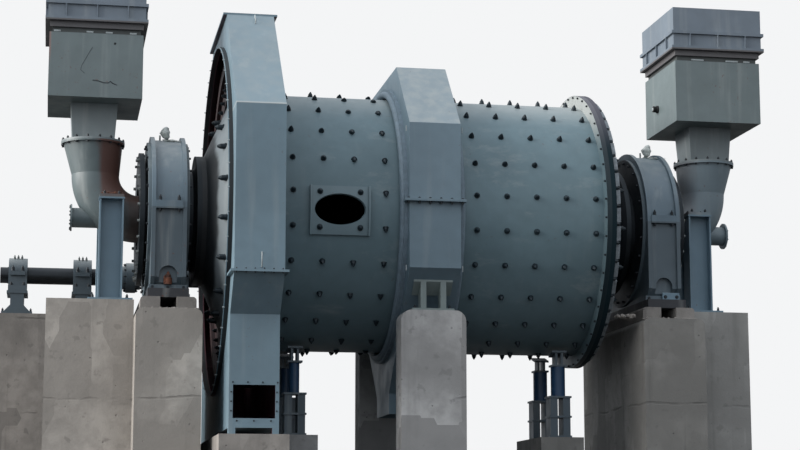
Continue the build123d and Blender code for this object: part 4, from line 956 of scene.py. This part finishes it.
FINISHES |= {end + "_" + title: finish for end, _ in ENDS for title, finish in ALIKE_AT_BOTH_ENDS.items()}


def coat_nodes():
    """Give every solid of the frame its finish."""
    for name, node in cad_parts.items():
        finish = FINISHES[name]
        for slot in node.material_slots:
            slot.material = finish
        if not node.material_slots:
            node.data.materials.append(finish)


# Fasteners and fittings of each sub-part

def mill_fasteners():
    """Liner caps over the shell, and the bolts and lock bars of the pad, heads, rim and trunnions."""
    rows = pattern(shell_rows_tree, LINER_CAP)
    radius, height = LINER_CAP_SIZE
    common = dict(rows=LINER_ROWS, station_step=LINER_PITCH, first_turn=math.radians(LINER_ROW_TURN),
                  shell_radius=SHELL_R - FOOT_SINK, radius=radius, height=height, bare_station=MANHOLE_X,
                  bare_half_length=BARE_HALF_LENGTH, bare_turn=math.radians(PAD_TURN),
                  bare_half_turn=math.radians(BARE_HALF_TURN), centre=(0, 0, AXIS_HEIGHT),
                  facing=(0, 0, 0), material=CAP_BLACK)
    fields = [grown(rows, first_station=LEFT_LINER_X, columns=LEFT_LINER_COLUMNS, **common),
              grown(rows, first_station=RIGHT_LINER_X, columns=RIGHT_LINER_COLUMNS, **common)]
    piece("liner_caps", fields, "drum")
    pad = [ring(LINER_CAP, CAP_BLACK, MANHOLE_X + way * PAD_BOLT_X, PAD_R - FOOT_SINK, 1, *PAD_CAP_SIZE,
                lean=1, first=turn)
           for way in (-1, 1) for turn in PAD_BOLT_TURNS]
    piece("manhole_bolts", pad, "drum")
    for end, side in ENDS:
        flange_x = side * (GEAR_WEB_X if side < 0 else HEAD_FACE_X)
        caps = ring(LONG_CAP, CAP_BLACK, side * HEAD_BOLT_X, HEAD_BOLT_R, HEAD_BOLTS, *HEAD_CAP_SIZE,
                    way=side, first=HEAD_BOLT_TURN)
        nuts = ring(NUT, CAP_BLACK, flange_x, HEAD_FLANGE_BOLT_R, HEAD_FLANGE_BOLTS, *FLANGE_NUT_SIZE,
                    way=side, first=HEAD_FLANGE_TURN)
        piece(end + "_head_bolts", [caps, nuts], "drum")
    inner = ring(BOLT_HEAD, BOLT_DARK, SHELL_END_X - RIM_THICK, RIM_BOLT_R, HEAD_FLANGE_BOLTS, *RIM_BOLT_SIZE,
                 way=-1, first=RIM_BOLT_TURN)
    locks = ring(LOCK_BLOCK, LOCK_LIGHT, HEAD_FACE_X, LOCK_BAR_R, HEAD_FLANGE_BOLTS, *LOCK_BAR_SIZE,
                 first=HEAD_FLANGE_TURN + 180 / HEAD_FLANGE_BOLTS)
    piece("right_flange_locks", [inner, locks], "drum")
    for end, side in ENDS:
        bolts = ring(BOLT_HEAD, BOLT_GREY, side * TRUNNION_END_X, TRUNNION_BOLT_R, TRUNNION_BOLTS,
                     *TRUNNION_BOLT_SIZE, way=side, first=TRUNNION_BOLT_TURN)
        piece(end + "_trunnion_bolts", [bolts], "drum")


def breather(x, lean):
    """The wrapped breather on top of a bearing cap: a short pipe, a bundle of film and a loose flap."""
    foot = (x, BREATHER_Y, BARREL_R)
    pipe = [(0.045, -0.02), (0.045, 0.012), (0.026, 0.014), (0.026, 0.07)]
    stub = smooth(turned_form(pipe, foot, BOLT_GREY))
    steps = 8
    bundle = []
    for k in range(steps + 1):
        share = k / steps
        swell = 0.062 * math.sin(math.pi * min(1, share * 0.96 + 0.04)) ** 0.6
        folds = 1 + 0.12 * math.sin(5 * share * math.pi)
        bundle.append((max(0.012, swell * folds), 0.03 + 0.16 * share))
    ball = smooth(turned_form(bundle, foot, FILM, axis=(0.1 * lean, -0.12, 1), sides=14), 80)
    for vertex in ball.vertices:
        vertex.co.x += 0.012 * math.sin(37 * vertex.co.z + 21 * vertex.co.y)
        vertex.co.y += 0.01 * math.sin(29 * vertex.co.x + 43 * vertex.co.z)
    spike_x, spike_y = x - 0.085, -0.08
    spike = rod([(spike_x, spike_y, BARREL_R - 0.01), (spike_x, spike_y, BARREL_R + 0.07)], 0.011, BOLT_GREY)
    return [stub, ball, film_flap(x), spike]


def film_flap(x):
    """A loose end of the film, that lies over the near side of the bearing cap and drifts to the right."""
    work = bmesh.new()
    rows, columns = 6, 5
    grid = []
    for r in range(rows):
        turn = math.radians(86 - 3.4 * r)
        half_width = 0.055 + 0.012 * r
        points = []
        for c in range(columns):
            across = half_width * (2 * c / (columns - 1) - 1) + 0.01 * math.sin(3 * r + c)
            reach = BARREL_R + 0.012 + 0.008 * math.sin(2.1 * c + r)
            place = (x + 0.014 * r + across, -reach * math.cos(turn), AXIS_HEIGHT + reach * math.sin(turn))
            points.append(work.verts.new(place))
        grid.append(points)
    for upper, lower in zip(grid, grid[1:]):
        for c in range(columns - 1):
            work.faces.new((upper[c], upper[c + 1], lower[c + 1], lower[c]))
    bmesh.ops.solidify(work, geom=work.faces[:], thickness=0.004)
    return smooth(kept(work, "flap", FILM), 60)


def bearing_fittings(end, side):
    """Seal bolts, lug nuts, foot bolts and breather of one bearing."""
    x = side * BEARING_X
    parts = [ring(BOLT_HEAD, BOLT_DARK, x + face * SEAL_RING_X, SEAL_BOLT_R, SEAL_BOLTS, *SEAL_BOLT_SIZE,
                  way=face, first=SEAL_BOLT_TURN)
             for face in (-1, 1)]
    for near in (-1, 1):
        for way, level, size in ((1, CAP_LUG_Z, CAP_NUT_SIZE), (-1, HOUSING_LUG_Z, HOUSING_NUT_SIZE)):
            middle = (x, near * LUG_BOLT_Y, level)
            parts.append(pair(NUT, BOLT_DARK, middle, LUG_BOLT_HALF_GAP, (0, 0, way), size))
        foot = (x - FOOT_BOLT_PITCH, near * FOOT_FRONT_Y, FOOT_BOLT_Z)
        parts.append(line(BOLT_HEAD, BOLT_DARK, foot, (FOOT_BOLT_PITCH, 0, 0), 3, (0, near, 0),
                          *FOOT_BOLT_SIZE))
    parts += breather(x + BREATHER_SHIFT[end], side)
    piece(end + "_bearing_fittings", parts, "structure")


def left_niche_valve():
    """The rusty drain fitting in the arched niche of the left bearing."""
    x = -BEARING_X
    profile = [(0.05, 0), (0.05, 0.075), (0.036, 0.082), (0.036, 0.115), (0.02, 0.13), (0.008, 0.16)]
    body = smooth(turned_form(profile, (x, -NICHE_Y - 0.01, HOUSING_FOOT_Z + 0.063), RUSTY))
    lever = plate((x - 0.055, -NICHE_Y - 0.05, HOUSING_FOOT_Z + 0.075),
                  (x - 0.035, -NICHE_Y - 0.04, HOUSING_FOOT_Z + 0.165), RUSTY)
    piece("left_niche_valve", [body, lever], "structure")


def right_foot_bracket():
    """The stop plate that stands in front of the right bearing's foot."""
    y, low = -STOP_FRONT_Y, HOUSING_FOOT_Z
    stop = plate((STOP_X - 0.115, y, low), (STOP_X + 0.115, y + STOP_THICK, low + 0.1), STAND_PAINT, 0.008)
    bolts = pair(BOLT_HEAD, BOLT_DARK, (STOP_X, y, low + 0.045), 0.076, (0, -1, 0), STOP_BOLT_SIZE)
    piece("right_foot_bracket", [stop, bolts], "structure")


def grip(middle, along, ends, outward, radius):
    """A bent rod handle on a face, between two ends along a line, that stands off outward."""
    first, last = (Vector(middle) + Vector(along) * reach for reach in ends)
    lift = Vector(outward)
    return rod([tuple(p) for p in (first, first + lift, last + lift, last)], radius, TAB_LIGHT)


def guard_fittings():
    """Handles, clamp tabs, flange bolts and the bolts round the cleaning opening."""
    slant = Vector((0, -1, -1)).normalized()
    off_slope = Vector((0, -1, 1)).normalized() * 0.045
    parts = [grip((GEAR_X + 0.02, -GUARD_FLAT, GUARD_SPLIT_Z + 0.13), UPWARD, (0.085, -0.085),
                  (0, -0.04, 0), 0.007),
             grip((GEAR_X + 0.05, -GUARD_CORNER - 0.09, GUARD_FLAT - 0.09), slant, (-0.06, 0.07),
                  off_slope, 0.008),
             ring(CLAMP_TAB, TAB_LIGHT, GUARD_COLLAR_X, GUARD_COLLAR_R - FOOT_SINK, CLAMP_TABS,
                  *CLAMP_TAB_SIZE, lean=1, first=CLAMP_TAB_TURN)]
    for y in SPLIT_BOLT_YS:
        for way in (-1, 1):
            start = (SPLIT_BOLT_X, y, GUARD_SPLIT_Z + way * SPLIT_FLANGE_THICK)
            parts.append(line(NUT, BOLT_DARK, start, (SPLIT_BOLT_PITCH, 0, 0), SPLIT_BOLTS, (0, 0, way),
                              *SPLIT_NUT_SIZE))
    for (x, z), step, count in CLEANING_ROWS:
        start = (GEAR_X + x, -GUARD_LOWER_Y, CLEANING_Z + z)
        parts.append(line(BOLT_HEAD, BOLT_DARK, start, step, count, (0, -1, 0), *CLEANING_BOLT_SIZE))
    piece("guard_fittings", parts, "structure")


def hood_fittings():
    """Flange bolts of the hood, its lifting ears and the bolts of its frames."""
    parts = []
    for near in (-1, 1):
        for way, level, size in ((-1, HOOD_FLANGE_FOOT, HOOD_LOWER_NUT_SIZE),
                                 (1, HOOD_FLANGE_TOP, HOOD_UPPER_NUT_SIZE)):
            start = (HOOD_BOLT_X, near * HOOD_BOLT_Y, level)
            parts.append(line(NUT, BOLT_DARK, start, (HOOD_BOLT_PITCH, 0, 0), HOOD_BOLTS, (0, 0, way), *size))
        foot = (0, near * HOOD_FOOT_Y, HOOD_FOOT_Z)
        parts.append(pair(NUT, BOLT_DARK, foot, HOOD_FOOT_HALF_GAP, UPWARD, HOOD_FOOT_NUT_SIZE))
        for side in (-1, 1):
            for z in HOOD_EAR_ZS:
                x = side * (HOOD_HALF_WIDTH + 0.03)
                y = near * (HOOD_FRONT_Y - 0.06)
                parts.append(plate((x - 0.006, y - 0.006, z - 0.035), (x + 0.006, y + 0.006, z + 0.035),
                                   TAB_LIGHT, 0.003))
    piece("hood_fittings", parts, "structure")


def feed_fittings(end, side):
    """Bolts of one chute, its stub and its stands, and the clips between hopper and bin."""
    x = side * FEED_X
    parts = []
    for form, way, size in ((NUT, 1, CHUTE_NUT_SIZE), (BOLT_HEAD, -1, CHUTE_BOLT_SIZE)):
        parts.append(ring(form, BOLT_DARK, x, CHUTE_BOLT_R, CHUTE_BOLTS, *size, first=CHUTE_BOLT_TURN,
                          z=CHUTE_FLANGE_Z + way * CHUTE_FLANGE_THICK, facing=(0, math.radians(-90 * way), 0)))
    parts.append(ring(BOLT_HEAD, BOLT_DARK, side * STUB_END_X, STUB_BOLT_R, STUB_BOLTS, *STUB_BOLT_SIZE,
                      way=side, first=STUB_BOLT_TURN))
    for near in (-1, 1):
        for row in (-BRACKET_BOLT_GAP, BRACKET_BOLT_GAP):
            middle = (side * STAND_XS[end], near * STAND_Y + row, BRACKET_TOP_Z)
            parts.append(pair(NUT, BOLT_DARK, middle, BRACKET_BOLT_GAP, UPWARD, BRACKET_NUT_SIZE))
        inner = side * STAND_INNER_BOLT_X[end]
        outer = side * STAND_OUTER_BOLT_X[end]
        for row in (-STAND_BOLT_ROW, STAND_BOLT_ROW):
            start = (inner, near * STAND_Y + row, STAND_FOOT_Z)
            parts.append(line(NUT, BOLT_DARK, start, (outer - inner, 0, 0), 2, UPWARD, *STAND_NUT_SIZE))
        for place in CLIP_PLACES[end]:
            start = (x + place, near * CLIP_Y, CLIP_Z)
            parts.append(line(SEAM_CLIP, TAB_LIGHT, start, (0, 0, 0), 1, (0, near, 0), *SEAM_CLIP_SIZE))
    piece(end + "_feed_fittings", parts, "structure")


def hopper_marks():
    """The hole and the scratches on the left hopper's front, and the capped stub on the right one's flank."""
    face = -HOPPER_HALF_DEPTH
    # The hole is a flat near-black disc: painted shade of its inside
    hole = smooth(turned_form([(0.014, 0), (0.014, 0.003), (0.008, 0.004)],
                              (-3.861, face, 2.128), HOLE_DARK, axis=(0, -1, 0)))
    scratch = [(-4.137, 2.073), (-4.171, 2.013), (-4.211, 1.937), (-4.268, 1.829), (-4.279, 1.774),
               (-4.23, 1.731)]
    gouge = [(-4.128, 1.647), (-4.057, 1.64), (-3.996, 1.62), (-3.936, 1.618), (-3.906, 1.64), (-3.876, 1.612),
             (-3.826, 1.596)]
    thin = rod([(x, face + 0.001, z) for x, z in scratch], 0.0035, SCRATCH_DARK)
    thick = rod([(x, face + 0.002, z) for x, z in gouge], 0.0075, SCRATCH_DARK)
    piece("left_hopper_marks", [hole, thin, thick], "structure")
    flank = FEED_X - HOPPER_HALF_LENGTH
    stub = smooth(turned_form([(0.052, 0), (0.052, 0.02), (0.042, 0.024), (0.042, 0.07), (0.03, 0.07)],
                              (flank, 0.12, 1.747), HOLE_DARK, axis=(-1, 0, 0)))
    cap = smooth(turned_form([(0.022, 0), (0.022, 0.006), (0.012, 0.01)],
                             (flank - 0.07, 0.12, 1.747), TAB_LIGHT, axis=(-1, 0, 0)))
    piece("right_hopper_stub", [stub, cap], "structure")


def drive_fittings():
    """Nuts and studs of the bearing blocks, and the coupling's bolts."""
    parts = []
    for x in SHAFT_BEARING_XS + PINION_BEARING_XS:
        for near in (-1, 1):
            for half_gap, reach, height, size in BLOCK_NUTS:
                middle = (x, PINION_Y + near * reach, PINION_Z + height)
                parts.append(pair(NUT, BOLT_DARK, middle, half_gap, UPWARD, size))
        studs = (x - 0.05, PINION_Y - 0.09, PINION_Z + 0.21)
        parts.append(line(NUT, BOLT_GREY, studs, (0.05, 0, 0), 3, (0, -0.2, 1), *BLOCK_STUD_SIZE))
    piece("bearing_block_studs", parts, "structure")
    rings = [ring(NUT, BOLT_DARK, COUPLING_X + way * COUPLING_HALF_LENGTH, COUPLING_BOLT_R, COUPLING_BOLTS,
                  *COUPLING_NUT_SIZE, way=way, y=PINION_Y, z=PINION_Z)
             for way in (-1, 1)]
    piece("coupling_bolts", rings, "pinion_line")


def debris():
    """Rust flakes on the left stand's bracket and mortar crumbs round the bearing feet."""
    flakes = strewn(RUSTY, (-3.98, -0.6, 0.222), (-3.72, -0.36, 0.245), count=90, radius=0.016, seed=4)
    piece("rust_flakes", [flakes], "structure")
    for end, side in ENDS:
        low = (side * BEARING_X - 0.36, -1.35, PIER_TOP_Z)
        high = (side * BEARING_X + 0.36, -1.2, -1.28)
        crumbs = [strewn(GROUT, low, high, count=70, radius=0.022, seed=7 + side)]
        if side > 0:
            crumbs.append(strewn(GROUT, (2.46, -1.33, PIER_TOP_Z), (2.66, -1.15, -1.25), count=24, radius=0.036,
                                 seed=21))
        piece(end + "_mortar_crumbs", crumbs, "structure")


# Stage, lamps and camera

def seen_directly(tree):
    """1 for rays from the camera, 0 for light that bounces on."""
    return add(tree, "ShaderNodeLightPath").outputs["Is Camera Ray"]


def set_floor():
    """A wide pale floor, dark to the light that it throws back."""
    work = bmesh.new()
    bmesh.ops.create_grid(work, x_segments=1, y_segments=1, size=FLOOR_REACH)
    material, tree, shader, _ = new_finish("floor")
    tree.links.new(mixed(tree, seen_directly(tree), linear(52, 50, 48), linear(226, 227, 228)),
                   shader.inputs["Base Color"])
    shader.inputs["Roughness"].default_value = 0.9
    floor = bpy.data.objects.new("floor", kept(work, "floor", material))
    bpy.context.scene.collection.objects.link(floor)
    floor.location.z = -FLOOR_DROP


def set_sky():
    """A soft sky, brighter above and to the left, with a plain pale background behind."""
    world = bpy.data.worlds.new("sky")
    bpy.context.scene.world = world
    world.use_nodes = True
    tree = world.node_tree
    back = tree.nodes["Background"]
    way = add(tree, "ShaderNodeTexCoord").outputs["Generated"]
    x, y, z = split_point(tree, way)
    height = graded(tree, z, -0.05, 0.9, 0.6, 1.4)
    side = graded(tree, x, -1, 1, 1.25, 0.8)
    depth = graded(tree, y, -1, 1, 1.05, 0.6)
    glow = times(tree, height, side, depth)
    tone = linear(242, 248, 255)
    soft = add(tree, "ShaderNodeVectorMath", {0: tone[:3], "Scale": glow}, operation="SCALE").outputs[0]
    tree.links.new(mixed(tree, seen_directly(tree), soft, linear(244, 245, 246)), back.inputs["Color"])
    back.inputs["Strength"].default_value = 1.0


def set_lamps():
    """One broad lamp from the left, above, that hardly reaches the faces turned to the camera."""
    lamp = bpy.data.lights.new("key", "SUN")
    lamp.energy = LAMP_ENERGY
    lamp.angle = math.radians(LAMP_SPREAD)
    lamp.color = (1.0, 0.965, 0.92)
    key = bpy.data.objects.new("key", lamp)
    bpy.context.scene.collection.objects.link(key)
    key.rotation_euler = Vector(LAMP_WAY).to_track_quat("-Z", "Y").to_euler()


def set_camera():
    """The photograph's view, worked out from the rows of liner caps and the bearings."""
    lens = bpy.data.cameras.new("camera")
    lens.sensor_width = SENSOR_WIDTH
    lens.lens = LENS_LENGTH
    camera = bpy.data.objects.new("camera", lens)
    bpy.context.scene.collection.objects.link(camera)
    camera.location = CAMERA_PLACE
    camera.rotation_euler = Euler((math.radians(90 + CAMERA_TILT), 0, math.radians(CAMERA_SWING)))
    bpy.context.scene.camera = camera
    bpy.context.scene.view_settings.view_transform = "Standard"


coat_nodes()
mill_fasteners()
for end, side in ENDS:
    bearing_fittings(end, side)
    feed_fittings(end, side)
hopper_marks()
left_niche_valve()
right_foot_bracket()
guard_fittings()
hood_fittings()
drive_fittings()
debris()
set_floor()
set_sky()
set_lamps()
set_camera()
